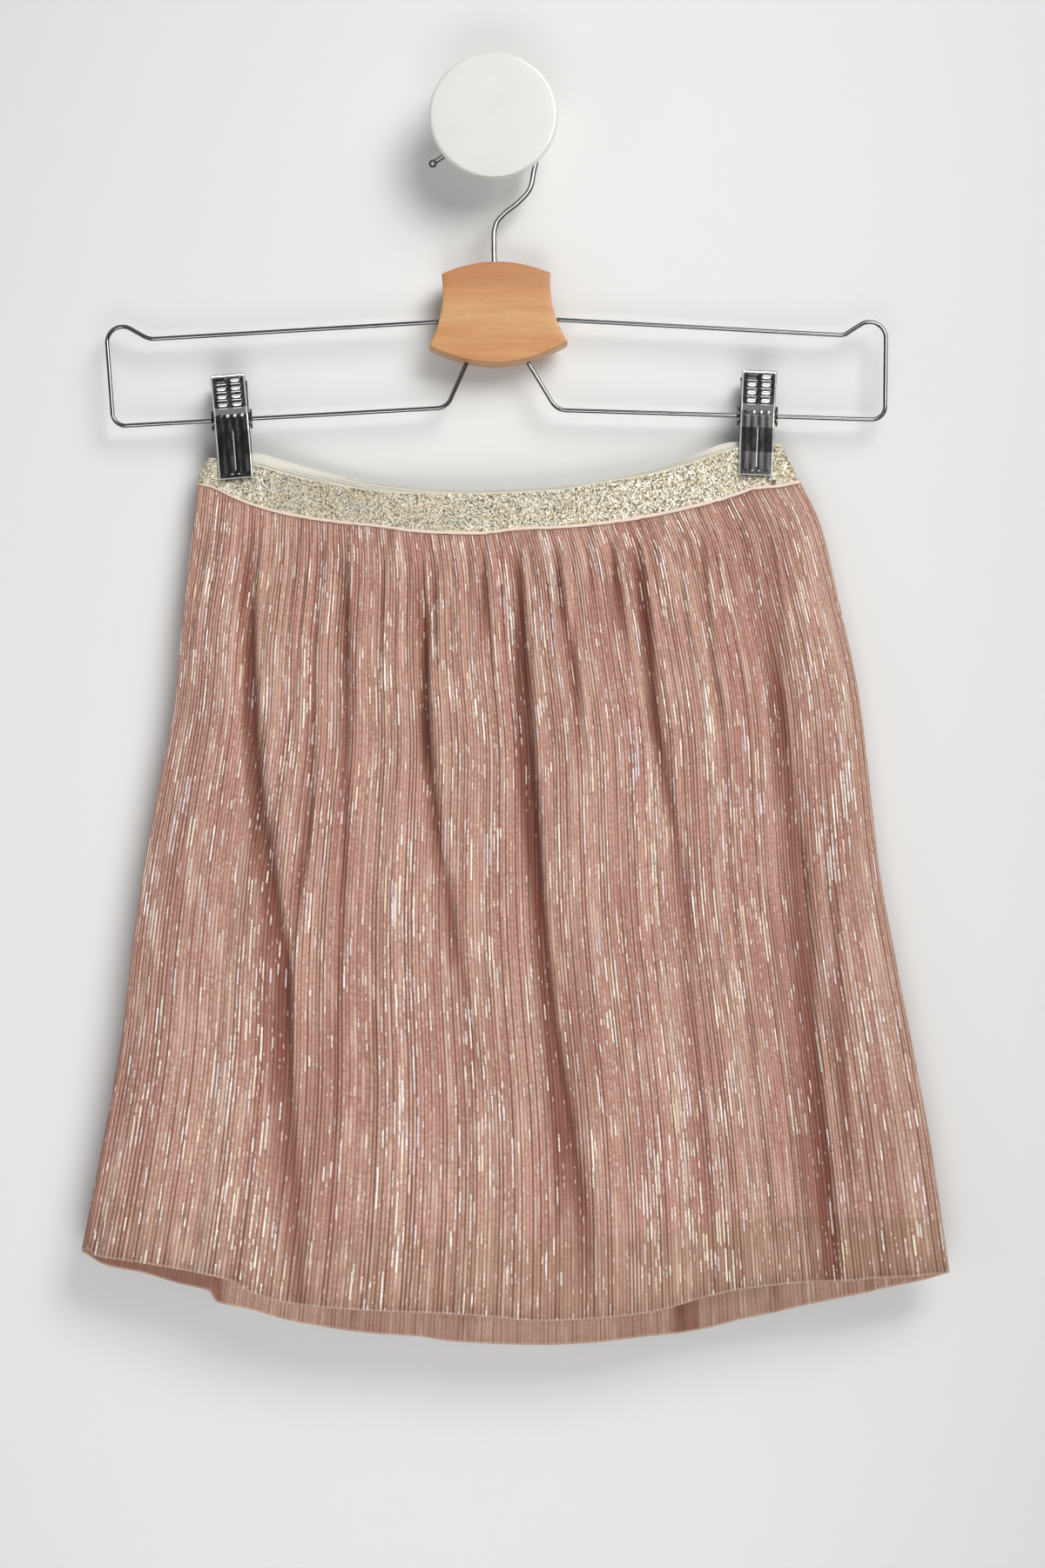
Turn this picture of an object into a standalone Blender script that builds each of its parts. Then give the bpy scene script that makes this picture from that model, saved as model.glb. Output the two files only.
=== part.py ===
"""Knit skirt held by two clips on a wire hanger, which hangs on a round wall hook.

Lengths are in millimetres here and become metres when a mesh is made. X runs to the right as the skirt is
seen, Y into the wall and Z up. The origin is the centre of the wall plate's back face, in the wall's plane.
"""

import math
from collections import namedtuple

import bmesh
import bpy
import numpy as np
from mathutils import Vector

MM = 0.001
GAP = 0.3

# Depths from the wall: the hanger's wire plane, and the mid-plane of the pinched waistband in it
HANGER_Y = -14.0

# Wall hook
DISC_RADIUS = 29.2
DISC_FRONT_Y = -35.4
DISC_THICKNESS = 5.0
DISC_EDGE_RADIUS = 1.6
STEM_RADIUS = 4.7
STEM_SHOULDER = 7.5
PLATE_RADIUS = 13.0
PLATE_THICKNESS = 3.0

# Hanger
HOOK_WIRE_RADIUS = 1.0
HOOK_ARC_RADIUS = 19.5
HOOK_BALL_RADIUS = 1.9
LOOP_WIRE_RADIUS = 0.95
BLOCK_THICKNESS = 12.0
BLOCK_EDGE = 1.4

# Clips
CLIP_WIDTH = 15.6
CLIP_PLATE = 1.0
BARREL_RADIUS = 3.1
BARREL_LENGTH = 18.4
CLIP_TEETH_OFFSET = 2.25

# Cloth
BAND_THICKNESS = 1.8
KNIT_THICKNESS = 1.0
LINING_THICKNESS = 1.0
GATHER_PROUD = 0.65
LINING_CLEARANCE = 0.35
LINING_SIDE_INSET = 5.0
LINING_HEM_RISE = 35.0
FRONT_GATHERS = 28
BACK_GATHERS = 21
COLUMNS_A_GATHER = 4
LINING_COLUMNS = 28
BAND_COLUMNS = 44

FRONT, BACK = -1.0, 1.0

# Outline of the skirt at shares of its length, 0 at the waistband's lower edge and 1 at the hem.
# left and right are the side folds, middle is the depth of the side fold's plane, and front and back are
# how far the front and back bulge from that plane.
Section = namedtuple("Section", "share left right middle front back")
SECTIONS = (
    Section(0.00, -133.8, 139.0, -14.0, 9.0, 8.0),
    Section(0.05, -135.2, 147.2, -14.6, 12.5, 8.6),
    Section(0.16, -139.4, 156.0, -16.0, 16.0, 9.6),
    Section(0.28, -142.4, 164.2, -17.6, 19.0, 11.0),
    Section(0.39, -148.8, 168.2, -19.0, 20.5, 12.2),
    Section(0.50, -155.2, 172.2, -20.2, 21.5, 13.2),
    Section(0.61, -160.3, 178.8, -21.2, 22.2, 14.2),
    Section(0.72, -164.1, 185.8, -22.2, 22.8, 15.2),
    Section(0.84, -170.6, 193.1, -23.2, 23.4, 16.2),
    Section(1.00, -180.6, 200.7, -24.2, 24.0, 17.4),
)

# Waistband seen from the front: height of its edges along the front half, and of the back half's top edge
BandEdge = namedtuple("BandEdge", "x top bottom")
BAND_FRONT = (
    BandEdge(-133.8, -153.4, -166.0),
    BandEdge(-127.8, -154.0, -167.3),
    BandEdge(-122.4, -154.6, -169.8),
    BandEdge(-115.9, -155.4, -173.0),
    BandEdge(-108.2, -156.3, -176.0),
    BandEdge(-94.1, -160.6, -180.0),
    BandEdge(-78.8, -164.5, -182.9),
    BandEdge(-64.0, -167.5, -185.0),
    BandEdge(-52.7, -169.2, -186.2),
    BandEdge(-38.2, -170.4, -188.4),
    BandEdge(-22.5, -170.6, -189.6),
    BandEdge(-6.1, -170.7, -189.9),
    BandEdge(10.4, -170.2, -188.0),
    BandEdge(28.0, -169.2, -187.2),
    BandEdge(47.6, -165.6, -185.4),
    BandEdge(67.7, -162.0, -182.2),
    BandEdge(88.9, -156.0, -177.2),
    BandEdge(102.0, -151.1, -173.7),
    BandEdge(110.0, -148.6, -171.1),
    BandEdge(118.0, -148.1, -168.4),
    BandEdge(129.0, -147.8, -167.4),
    BandEdge(139.0, -147.0, -165.2),
)
BAND_BACK = (
    BandEdge(-133.8, -153.4, -166.0),
    BandEdge(-124.0, -152.4, -168.4),
    BandEdge(-108.0, -151.0, -171.8),
    BandEdge(-94.8, -154.3, -175.2),
    BandEdge(-79.4, -158.2, -178.8),
    BandEdge(-53.2, -163.6, -183.6),
    BandEdge(-11.7, -166.8, -186.4),
    BandEdge(28.9, -165.2, -184.6),
    BandEdge(57.7, -161.0, -180.8),
    BandEdge(77.8, -156.6, -176.4),
    BandEdge(110.3, -145.8, -168.4),
    BandEdge(124.0, -145.8, -166.8),
    BandEdge(139.0, -147.0, -165.2),
)
# How far the waistband's ends lean in at its top edge, from the share of the half width where they begin to
BAND_LEAN_LEFT = 5.0
BAND_LEAN_RIGHT = 9.0
BAND_LEANS_FROM = 0.8

# How far each half of the waistband stands off the mid-plane: pinched at the clips, open between them
BandOpening = namedtuple("BandOpening", "x offset")
BAND_OPENING = (
    BandOpening(-133.8, 2.0),
    BandOpening(-104.0, 1.95),
    BandOpening(-86.0, 3.4),
    BandOpening(-45.0, 7.0),
    BandOpening(2.0, 8.3),
    BandOpening(50.0, 7.0),
    BandOpening(88.0, 3.4),
    BandOpening(104.0, 1.95),
    BandOpening(139.0, 2.0),
)
BAND_END_RADIUS = 3.2

# Height of each hem along its own panel
HemPoint = namedtuple("HemPoint", "x height")
FRONT_HEM = (
    HemPoint(-180.6, -509.6),
    HemPoint(-174.8, -511.1),
    HemPoint(-158.8, -513.6),
    HemPoint(-139.3, -516.7),
    HemPoint(-122.5, -519.9),
    HemPoint(-111.0, -523.0),
    HemPoint(-107.1, -526.0),
    HemPoint(-102.1, -527.9),
    HemPoint(-89.2, -531.6),
    HemPoint(-61.9, -534.4),
    HemPoint(-41.6, -535.4),
    HemPoint(-19.3, -536.3),
    HemPoint(0.0, -537.7),
    HemPoint(21.0, -539.3),
    HemPoint(41.0, -538.6),
    HemPoint(57.2, -537.2),
    HemPoint(71.6, -535.0),
    HemPoint(91.6, -529.3),
    HemPoint(105.6, -526.2),
    HemPoint(122.0, -524.1),
    HemPoint(139.0, -522.7),
    HemPoint(155.2, -522.2),
    HemPoint(167.8, -521.0),
    HemPoint(180.2, -520.6),
    HemPoint(200.7, -518.6),
)
BACK_HEM = (
    HemPoint(-180.6, -509.6),
    HemPoint(-169.9, -515.6),
    HemPoint(-154.7, -518.8),
    HemPoint(-139.2, -523.4),
    HemPoint(-126.4, -526.3),
    HemPoint(-121.6, -531.7),
    HemPoint(-109.5, -534.3),
    HemPoint(-91.3, -539.5),
    HemPoint(-73.6, -542.7),
    HemPoint(-53.2, -545.5),
    HemPoint(-32.4, -546.9),
    HemPoint(-20.0, -548.7),
    HemPoint(0.4, -550.1),
    HemPoint(21.2, -550.6),
    HemPoint(41.6, -549.8),
    HemPoint(62.4, -547.5),
    HemPoint(92.3, -543.7),
    HemPoint(107.5, -539.9),
    HemPoint(124.1, -536.2),
    HemPoint(141.0, -532.5),
    HemPoint(157.5, -529.1),
    HemPoint(174.1, -525.3),
    HemPoint(190.5, -521.8),
    HemPoint(200.7, -518.6),
)

# Large folds: the valley's path across the skirt at five shares of the length, the shares where it starts and
# ends, its depth, and its width from the middle to where a third of the depth is left
Fold = namedtuple("Fold", "at_waist at_quarter at_half at_three_quarters at_hem start end depth width")
FOLD_STATIONS = (0.0, 0.25, 0.5, 0.75, 1.0)
FRONT_FOLDS = (
    Fold(-109.5, -108.8, -95.2, -89.1, -83.4, 0.03, 1.05, 7.5, 6.5),
    Fold(-81.0, -79.5, -82.0, -84.0, -86.0, 0.02, 0.40, 2.4, 4.5),
    Fold(-68.2, -66.6, -67.6, -67.9, -67.8, 0.00, 0.60, 5.0, 5.0),
    Fold(-32.2, -29.9, -19.2, -1.9, 9.3, 0.04, 0.86, 8.5, 6.5),
    Fold(-13.0, -1.5, 4.0, 6.0, 8.0, 0.00, 0.30, 2.6, 4.0),
    Fold(11.2, 15.6, 22.4, 33.4, 43.4, 0.02, 1.04, 9.5, 7.0),
    Fold(26.4, 40.7, 50.1, 53.9, 55.5, 0.00, 0.38, 4.2, 4.5),
    Fold(65.9, 72.1, 86.0, 90.7, 94.3, 0.02, 1.00, 7.0, 6.0),
    Fold(90.0, 95.0, 103.0, 112.0, 118.0, 0.00, 0.42, 2.2, 4.5),
    Fold(124.7, 128.4, 136.0, 139.8, 144.5, 0.08, 1.20, 6.5, 6.0),
    Fold(140.4, 156.3, 164.5, 171.2, 175.9, 0.10, 1.20, 2.4, 5.0),
    Fold(-122.0, -132.0, -138.0, -142.0, -146.0, 0.10, 1.20, 2.0, 7.0),
    Fold(-45.0, -46.0, -45.0, -46.0, -48.0, 0.45, 1.20, 2.8, 7.0),
    Fold(10.0, 0.0, -8.0, -14.0, -20.0, 0.50, 1.20, 2.4, 6.0),
    Fold(50.0, 56.0, 60.0, 66.0, 70.0, 0.50, 1.20, 2.6, 6.0),
)
BACK_FOLDS = (
    Fold(-112.0, -118.0, -124.0, -128.0, -131.0, 0.06, 1.20, 4.4, 6.5),
    Fold(-82.0, -80.0, -84.0, -92.0, -98.0, 0.02, 0.70, 4.6, 6.0),
    Fold(-52.0, -56.0, -60.0, -62.0, -64.0, 0.02, 1.10, 5.6, 6.5),
    Fold(-24.0, -20.0, -24.0, -30.0, -34.0, 0.00, 0.45, 3.4, 5.0),
    Fold(2.0, 4.0, -2.0, -10.0, -16.0, 0.02, 1.05, 5.8, 7.0),
    Fold(30.0, 33.0, 36.0, 34.0, 32.0, 0.00, 0.60, 4.0, 5.0),
    Fold(58.0, 62.0, 66.0, 74.0, 80.0, 0.03, 1.15, 5.6, 6.5),
    Fold(96.0, 104.0, 112.0, 118.0, 122.0, 0.05, 1.20, 5.2, 6.5),
    Fold(124.0, 140.0, 150.0, 158.0, 164.0, 0.12, 1.20, 2.6, 6.0),
)
# Room kept between each panel and its lining, for the folds
FRONT_FOLD_ROOM = 10.0
BACK_FOLD_ROOM = 6.4
FOLD_SHOULDER = 0.28
FOLD_GROWS_BY = 0.22
OPENS_BY = 0.20

GATHER_HEIGHT = 1.1
FLUTE_HEIGHT = 0.7
BACK_WALL_LIMIT = -2.0

FRONT_SHARES = (0.0, 0.025, 0.06, 0.11, 0.18, 0.27, 0.37, 0.48, 0.59, 0.70, 0.80, 0.90, 1.0)
BACK_SHARES = (0.0, 0.03, 0.08, 0.16, 0.27, 0.40, 0.54, 0.68, 0.84, 1.0)
LINING_SHARES = (0.0, 0.06, 0.16, 0.32, 0.54, 0.77, 1.0)

KNIT_COLOUR = (0.52, 0.27, 0.21)
KNIT_BACK_COLOUR = (0.45, 0.24, 0.19)
LINING_COLOUR = (0.58, 0.30, 0.25)
BAND_COLOUR = (0.66, 0.58, 0.43)
CHROME_COLOUR = (0.62, 0.63, 0.64)
CLIP_COLOUR = (0.30, 0.31, 0.32)
WOOD_COLOUR = (0.60, 0.31, 0.13)
WHITE_COLOUR = (0.86, 0.86, 0.84)


def through(xs, ys, at):
    """Value at a place, or at each of several, of a smooth curve through a table that never overshoots it."""
    xs = np.asarray(xs, dtype=float)
    ys = np.asarray(ys, dtype=float)
    step = np.diff(xs)
    rise = np.diff(ys) / step
    slope = np.zeros_like(ys)
    slope[0] = rise[0]
    slope[-1] = rise[-1]
    for i in range(1, len(xs) - 1):
        if rise[i - 1] * rise[i] > 0.0:
            slope[i] = 2.0 * rise[i - 1] * rise[i] / (rise[i - 1] + rise[i])
    at = np.clip(np.asarray(at, dtype=float), xs[0], xs[-1])
    i = np.clip(np.searchsorted(xs, at, side="right") - 1, 0, len(step) - 1)
    s = (at - xs[i]) / step[i]
    near = ys[i] * (1 + 2 * s) * (1 - s) ** 2 + step[i] * slope[i] * s * (1 - s) ** 2
    far = ys[i + 1] * s * s * (3 - 2 * s) + step[i] * slope[i + 1] * s * s * (s - 1)
    return near + far


def column(table, name):
    """One named column of a table of rows."""
    return [getattr(row, name) for row in table]


def ease(low, high, value):
    """0 below low, 1 above high, and a smooth step between."""
    s = np.clip((value - low) / (high - low), 0.0, 1.0)
    return s * s * (3.0 - 2.0 * s)


def section_at(share):
    """The outline's row at any share of the length."""
    shares = column(SECTIONS, "share")
    return Section(share, *(float(through(shares, column(SECTIONS, name), share)) for name in Section._fields[1:]))


def band_offset(across):
    """Distance of the waistband's outer face from the mid-plane, at -1 to 1 across, closing at both ends."""
    top = SECTIONS[0]
    centre = (top.left + top.right) / 2
    half = (top.right - top.left) / 2
    offset = through(column(BAND_OPENING, "x"), column(BAND_OPENING, "offset"), centre + half * across)
    past = np.clip((np.abs(across) * half - (half - BAND_END_RADIUS)) / BAND_END_RADIUS, 0.0, 1.0)
    return offset * np.sqrt(np.clip(1.0 - past ** 2, 0.0, 1.0))


def lens(across):
    """Bulge of the skirt's section at -1 to 1 across: full in the middle, rounding in at the side folds."""
    return np.sqrt(np.clip(1.0 - np.abs(across) ** 3, 0.0, 1.0))


def base_offset(side, share, across):
    """Distance of a panel's outer face from the mid-plane, before gathers and folds."""
    row = section_at(share)
    bulge = row.front if side == FRONT else row.back
    opened = ease(0.0, OPENS_BY, share)
    at_waist = band_offset(across) + GATHER_PROUD * np.sqrt(np.clip(1.0 - across ** 8, 0.0, 1.0))
    return (1.0 - opened) * at_waist + opened * bulge * lens(across)


def evenly_across(offset_at, half_width, count):
    """Places from -1 to 1 across that part a section's outline into equal lengths."""
    across = np.sin(np.linspace(-0.5, 0.5, 801) * math.pi)
    offset = offset_at(across)
    lengths = np.hypot(np.diff(across) * half_width, np.diff(offset))
    travelled = np.concatenate(([0.0], np.cumsum(lengths)))
    return np.interp(np.linspace(0.0, travelled[-1], count + 1), travelled, across)


def fold_strength(fold, share):
    """How much of a fold's depth is there at a share of the length."""
    grows = ease(fold.start, fold.start + FOLD_GROWS_BY, share)
    fades = 1.0 - ease(fold.end - 0.30, fold.end, share)
    return float(grows * fades)


def fold_inward(folds, share, x):
    """How far the large folds push a panel inward at places x: valleys in, their shoulders a little out."""
    inward = np.zeros_like(x)
    for fold in folds:
        path = float(through(FOLD_STATIONS, fold[:5], share))
        reach = np.abs(x - path) / fold.width
        shoulder = np.exp(-((reach - 2.3) / 1.1) ** 2)
        inward += fold.depth * fold_strength(fold, share) * (np.exp(-reach ** 2) - FOLD_SHOULDER * shoulder)
    return inward


def lining_room(side, share):
    """Room for folds between a panel and its lining at a share of the length."""
    room = FRONT_FOLD_ROOM if side == FRONT else BACK_FOLD_ROOM
    return room * float(ease(0.0, FOLD_GROWS_BY + 0.06, share))


def lining_offset(side, share, across):
    """Distance of the lining's outer face from the mid-plane."""
    inside = base_offset(side, share, across) - KNIT_THICKNESS - LINING_CLEARANCE - lining_room(side, share)
    return np.maximum(inside, LINING_THICKNESS + GAP)


def side_shares_height(side, share, across):
    """Height of a panel's point: its share of the way from the waistband's lower edge to the hem."""
    band = BAND_FRONT if side == FRONT else BAND_BACK
    hem = FRONT_HEM if side == FRONT else BACK_HEM
    waist = SECTIONS[0]
    foot = SECTIONS[-1]
    at_band = (waist.left + waist.right) / 2 + (waist.right - waist.left) / 2 * across
    at_hem = (foot.left + foot.right) / 2 + (foot.right - foot.left) / 2 * across
    top = through(column(band, "x"), column(band, "bottom"), at_band) - GAP
    bottom = through(column(hem, "x"), column(hem, "height"), at_hem)
    return top + (bottom - top) * share


def gather_wave(share, count, place):
    """Height of the gathers, strong at the waistband, and of the flutes that they run into towards the hem."""
    height = GATHER_HEIGHT * (1.0 - ease(0.02, 0.35, share)) + FLUTE_HEIGHT * ease(0.25, 1.0, share)
    index = np.floor(place * count + 0.5)
    uneven = 0.72 + 0.28 * np.sin(index * 2.4) * np.cos(index * 0.9)
    ends = ease(0.0, 0.02, place) * ease(0.0, 0.02, 1.0 - place)
    return height * uneven * ends * 0.5 * (1.0 + np.cos(2.0 * math.pi * count * place))


def panel_points(side, shares, gathers, folds):
    """Outer points of a skirt panel, row by row from the waistband down."""
    count = gathers * COLUMNS_A_GATHER
    place = np.linspace(0.0, 1.0, count + 1)
    room_side = FRONT_FOLD_ROOM if side == FRONT else BACK_FOLD_ROOM
    rows = []
    for share in shares:
        row = section_at(share)
        half = (row.right - row.left) / 2
        across = evenly_across(lambda a: base_offset(side, share, a), half, count)
        x = (row.left + row.right) / 2 + half * across
        base = base_offset(side, share, across)
        room = base - lining_offset(side, share, across) - KNIT_THICKNESS - LINING_CLEARANCE
        inward = np.minimum(fold_inward(folds, share, x), np.minimum(room, room_side))
        ends = ease(0.0, 0.03, place) * ease(0.0, 0.03, 1.0 - place)
        offset = base - inward * ends + gather_wave(share, gathers, place)
        y = row.middle + side * (GAP / 2 + offset)
        if side == BACK:
            y = np.minimum(y, BACK_WALL_LIMIT)
        z = side_shares_height(side, share, across)
        rows.append([Vector(point) for point in zip(x, y, z)])
    return rows


def lining_points(side):
    """Outer points of a lining panel, row by row, ending above the skirt's hem."""
    hem = FRONT_HEM if side == FRONT else BACK_HEM
    length = max(column(BAND_FRONT, "bottom")) - min(column(hem, "height"))
    last = 1.0 - LINING_HEM_RISE / length
    fold = LINING_THICKNESS + GAP
    round_end = [fold * (1.0 - math.cos(angle)) for angle in (0.0, math.pi / 4, math.pi / 2)]
    rows = []
    for part in LINING_SHARES:
        share = part * last
        row = section_at(share)
        half = (row.right - row.left) / 2
        inset = LINING_SIDE_INSET * (0.4 + 0.6 * float(ease(0.0, 0.1, share))) + KNIT_THICKNESS + LINING_CLEARANCE
        width = 2 * (half - inset)
        between = np.linspace(fold, width - fold, LINING_COLUMNS + 1)[1:-1]
        from_left = np.concatenate((round_end, between, width - np.array(round_end[::-1])))
        from_end = np.minimum(from_left, width - from_left)
        across = (from_left - width / 2) / half
        rounded = np.sqrt(np.clip(fold ** 2 - np.clip(fold - from_end, 0.0, fold) ** 2, 0.0, fold ** 2))
        offset = np.where(from_end < fold, rounded, lining_offset(side, share, across))
        x = (row.left + row.right) / 2 + half * across
        y = row.middle + side * (GAP / 2 + offset)
        z = side_shares_height(side, share, across)
        rows.append([Vector(point) for point in zip(x, y, z)])
    return rows


def outward(rows, closed, side):
    """Level outward direction at each point of a grid of rows."""
    directions = []
    for row in rows:
        count = len(row)
        line = []
        for j in range(count):
            if closed:
                run = row[(j + 1) % count] - row[j - 1]
            else:
                run = row[min(j + 1, count - 1)] - row[max(j - 1, 0)]
            direction = Vector((run.y, -run.x, 0.0)) * (-side)
            line.append(direction.normalized())
        if not closed:
            line[0] = Vector((-1.0, 0.0, 0.0))
            line[-1] = Vector((1.0, 0.0, 0.0))
        directions.append(line)
    return directions


def cloth_wall(name, rows, thickness, side, material, closed=False):
    """A wall of cloth: the outer points, the same points moved in by the thickness, and rims between them."""
    directions = outward(rows, closed, side)
    mesh = bmesh.new()
    outer = [[mesh.verts.new(p * MM) for p in row] for row in rows]
    inner = [
        [mesh.verts.new((p - d * thickness) * MM) for p, d in zip(row, line)]
        for row, line in zip(rows, directions)
    ]
    down = len(rows)
    along = len(rows[0])
    spans = [(j, (j + 1) % along) for j in range(along if closed else along - 1)]
    for i in range(down - 1):
        for j, k in spans:
            mesh.faces.new((outer[i][j], outer[i + 1][j], outer[i + 1][k], outer[i][k]))
            mesh.faces.new((inner[i][j], inner[i][k], inner[i + 1][k], inner[i + 1][j]))
    for j, k in spans:
        mesh.faces.new((outer[0][j], outer[0][k], inner[0][k], inner[0][j]))
        mesh.faces.new((outer[-1][k], outer[-1][j], inner[-1][j], inner[-1][k]))
    if not closed:
        for i in range(down - 1):
            mesh.faces.new((outer[i][0], inner[i][0], inner[i + 1][0], outer[i + 1][0]))
            mesh.faces.new((outer[i][-1], outer[i + 1][-1], inner[i + 1][-1], inner[i][-1]))
    bmesh.ops.recalc_face_normals(mesh, faces=mesh.faces)
    return finished(name, mesh, material)


def finished(name, mesh, material, sharp_degrees=40.0):
    """Turn a bmesh into a named object with its material, smooth but for its sharp edges."""
    data = bpy.data.meshes.new(name)
    mesh.to_mesh(data)
    mesh.free()
    data.shade_smooth()
    data.set_sharp_from_angle(angle=math.radians(sharp_degrees))
    data.materials.append(material)
    thing = bpy.data.objects.new(name, data)
    bpy.context.scene.collection.objects.link(thing)
    return thing


def plain_material(name, colour, roughness, metallic=0.0):
    """A Principled material of one colour."""
    material = bpy.data.materials.new(name)
    material.use_nodes = True
    shader = material.node_tree.nodes["Principled BSDF"]
    shader.inputs["Base Color"].default_value = (*colour, 1.0)
    shader.inputs["Roughness"].default_value = roughness
    shader.inputs["Metallic"].default_value = metallic
    return material


def waistband(material):
    """The elastic loop: its front half, then its back half, as one ring of points for each edge height."""
    top = SECTIONS[0]
    centre = (top.left + top.right) / 2
    half = (top.right - top.left) / 2
    across = evenly_across(band_offset, half, BAND_COLUMNS)
    front_x = centre + half * across
    front_y = top.middle - band_offset(across)
    back_y = top.middle + band_offset(across)
    rows = []
    for part in (0.0, 0.5, 1.0):
        lean = band_lean(across, part)
        ring = []
        for x, y, shift in zip(front_x, front_y, lean):
            ring.append(Vector((x + shift, y, band_height(BAND_FRONT, x, part))))
        for x, y, shift in list(zip(front_x, back_y, lean))[-2:0:-1]:
            ring.append(Vector((x + shift, y, band_height(BAND_BACK, x, part))))
        rows.append(ring)
    return cloth_wall("waistband", rows, BAND_THICKNESS, FRONT, material, closed=True)


def band_lean(across, part):
    """How far the waistband's ends lean inward, part of the way from its top edge to its bottom edge."""
    near_end = ease(BAND_LEANS_FROM, 1.0, np.abs(across))
    left = BAND_LEAN_LEFT * (1.0 - part) ** 2
    right = -BAND_LEAN_RIGHT * (1.0 - part)
    return near_end * np.where(across < 0.0, left, right)


def band_height(table, x, part):
    """Height on the waistband, part of the way from its top edge to its bottom edge."""
    high = float(through(column(table, "x"), column(table, "top"), x))
    low = float(through(column(table, "x"), column(table, "bottom"), x))
    return high + (low - high) * part


def turned(name, profile, steps, material):
    """A solid turned about the Y axis from (radius, y) points, from the wall side to the front."""
    mesh = bmesh.new()
    rings = []
    for radius, y in profile:
        if radius == 0.0:
            rings.append([mesh.verts.new(Vector((0.0, y, 0.0)) * MM)])
            continue
        angles = [2.0 * math.pi * i / steps for i in range(steps)]
        rings.append([mesh.verts.new(Vector((radius * math.cos(a), y, radius * math.sin(a))) * MM) for a in angles])
    for low, high in zip(rings, rings[1:]):
        for i in range(steps):
            j = (i + 1) % steps
            if len(low) == 1:
                mesh.faces.new((low[0], high[j], high[i]))
            elif len(high) == 1:
                mesh.faces.new((low[i], low[j], high[0]))
            else:
                mesh.faces.new((low[i], low[j], high[j], high[i]))
    bmesh.ops.recalc_face_normals(mesh, faces=mesh.faces)
    return finished(name, mesh, material)


def wall_hook(material):
    """The wall plate, the stem and the round disc of the wall hook."""
    stem_start = -PLATE_THICKNESS - GAP
    disc_back = DISC_FRONT_Y + DISC_THICKNESS
    stem_end = disc_back + GAP
    plate = (
        (0.0, 0.0),
        (PLATE_RADIUS, 0.0),
        (PLATE_RADIUS, -PLATE_THICKNESS + 1.0),
        (PLATE_RADIUS - 1.0, -PLATE_THICKNESS),
        (0.0, -PLATE_THICKNESS),
    )
    stem = (
        (0.0, stem_start),
        (STEM_SHOULDER, stem_start),
        (STEM_RADIUS, stem_start - 2.0),
        (STEM_RADIUS, stem_end + 2.0),
        (STEM_SHOULDER, stem_end),
        (0.0, stem_end),
    )
    disc = [(0.0, disc_back)]
    for centre_y, first in ((disc_back - DISC_EDGE_RADIUS, 90), (DISC_FRONT_Y + DISC_EDGE_RADIUS, 0)):
        for degrees in range(first, first - 91, -30):
            angle = math.radians(degrees)
            radius = DISC_RADIUS - DISC_EDGE_RADIUS + DISC_EDGE_RADIUS * math.cos(angle)
            disc.append((radius, centre_y + DISC_EDGE_RADIUS * math.sin(angle)))
    disc.append((0.0, DISC_FRONT_Y))
    turned("hook_wall_plate", plate, 24, material)
    turned("hook_stem", stem, 16, material)
    turned("hook_disc", disc, 36, material)


def filleted(corners, steps=4):
    """Points along straight runs whose corners (x, z, radius) are rounded."""
    points = [Vector((corners[0][0], HANGER_Y, corners[0][1]))]
    for before, here, after in zip(corners, corners[1:], corners[2:]):
        corner = Vector((here[0], HANGER_Y, here[1]))
        arriving = (corner - Vector((before[0], HANGER_Y, before[1]))).normalized()
        leaving = (Vector((after[0], HANGER_Y, after[1])) - corner).normalized()
        turn = arriving.angle(leaving)
        tangent = here[2] * math.tan(turn / 2)
        start = corner - arriving * tangent
        inward = (leaving - arriving * leaving.dot(arriving)).normalized()
        centre = start + inward * here[2]
        for i in range(steps + 1):
            angle = turn * i / steps
            points.append(centre - inward * here[2] * math.cos(angle) + arriving * here[2] * math.sin(angle))
    points.append(Vector((corners[-1][0], HANGER_Y, corners[-1][1])))
    return points


def wire(name, points, radii, sides, material):
    """A round wire through points in the hanger's plane, with a radius at each point and flat or closed ends."""
    mesh = bmesh.new()
    across = Vector((0.0, 1.0, 0.0))
    rings = []
    last = len(points) - 1
    for i, (point, radius) in enumerate(zip(points, radii)):
        run = (points[min(i + 1, last)] - points[max(i - 1, 0)]).normalized()
        beside = run.cross(across).normalized()
        ring = []
        for k in range(sides):
            angle = 2.0 * math.pi * (k + 0.5) / sides
            ring.append(mesh.verts.new((point + (across * math.cos(angle) + beside * math.sin(angle)) * radius) * MM))
        rings.append(ring)
    for low, high in zip(rings, rings[1:]):
        for k in range(sides):
            m = (k + 1) % sides
            mesh.faces.new((low[k], low[m], high[m], high[k]))
    mesh.faces.new(rings[0])
    mesh.faces.new(rings[-1][::-1])
    bmesh.ops.recalc_face_normals(mesh, faces=mesh.faces)
    return finished(name, mesh, material)


# Corners of each wire loop as (x, z, radius): out along the upper bar, over the hump, down, in along the
# lower bar and up into the block's underside
LEFT_LOOP = (
    (-24.8, -90.6, 0.0),
    (-156.3, -98.6, 9.0),
    (-176.4, -87.1, 7.0),
    (-172.0, -138.8, 6.0),
    (-21.2, -130.2, 7.0),
    (-12.2, -109.5, 0.0),
)
RIGHT_LOOP = (
    (28.6, -89.6, 0.0),
    (158.8, -96.8, 5.0),
    (178.2, -84.3, 7.4),
    (177.1, -135.8, 6.0),
    (28.6, -131.3, 8.0),
    (15.6, -109.4, 0.0),
)
LEFT_CLIP_X = -118.4
RIGHT_CLIP_X = 119.3
LEFT_CLIP_LEAN = 1.6
RIGHT_CLIP_LEAN = -0.6


def wire_loop(name, corners, material):
    """One side's wire loop."""
    points = filleted(corners)
    return wire(name, points, [LOOP_WIRE_RADIUS] * len(points), 8, material)


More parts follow.
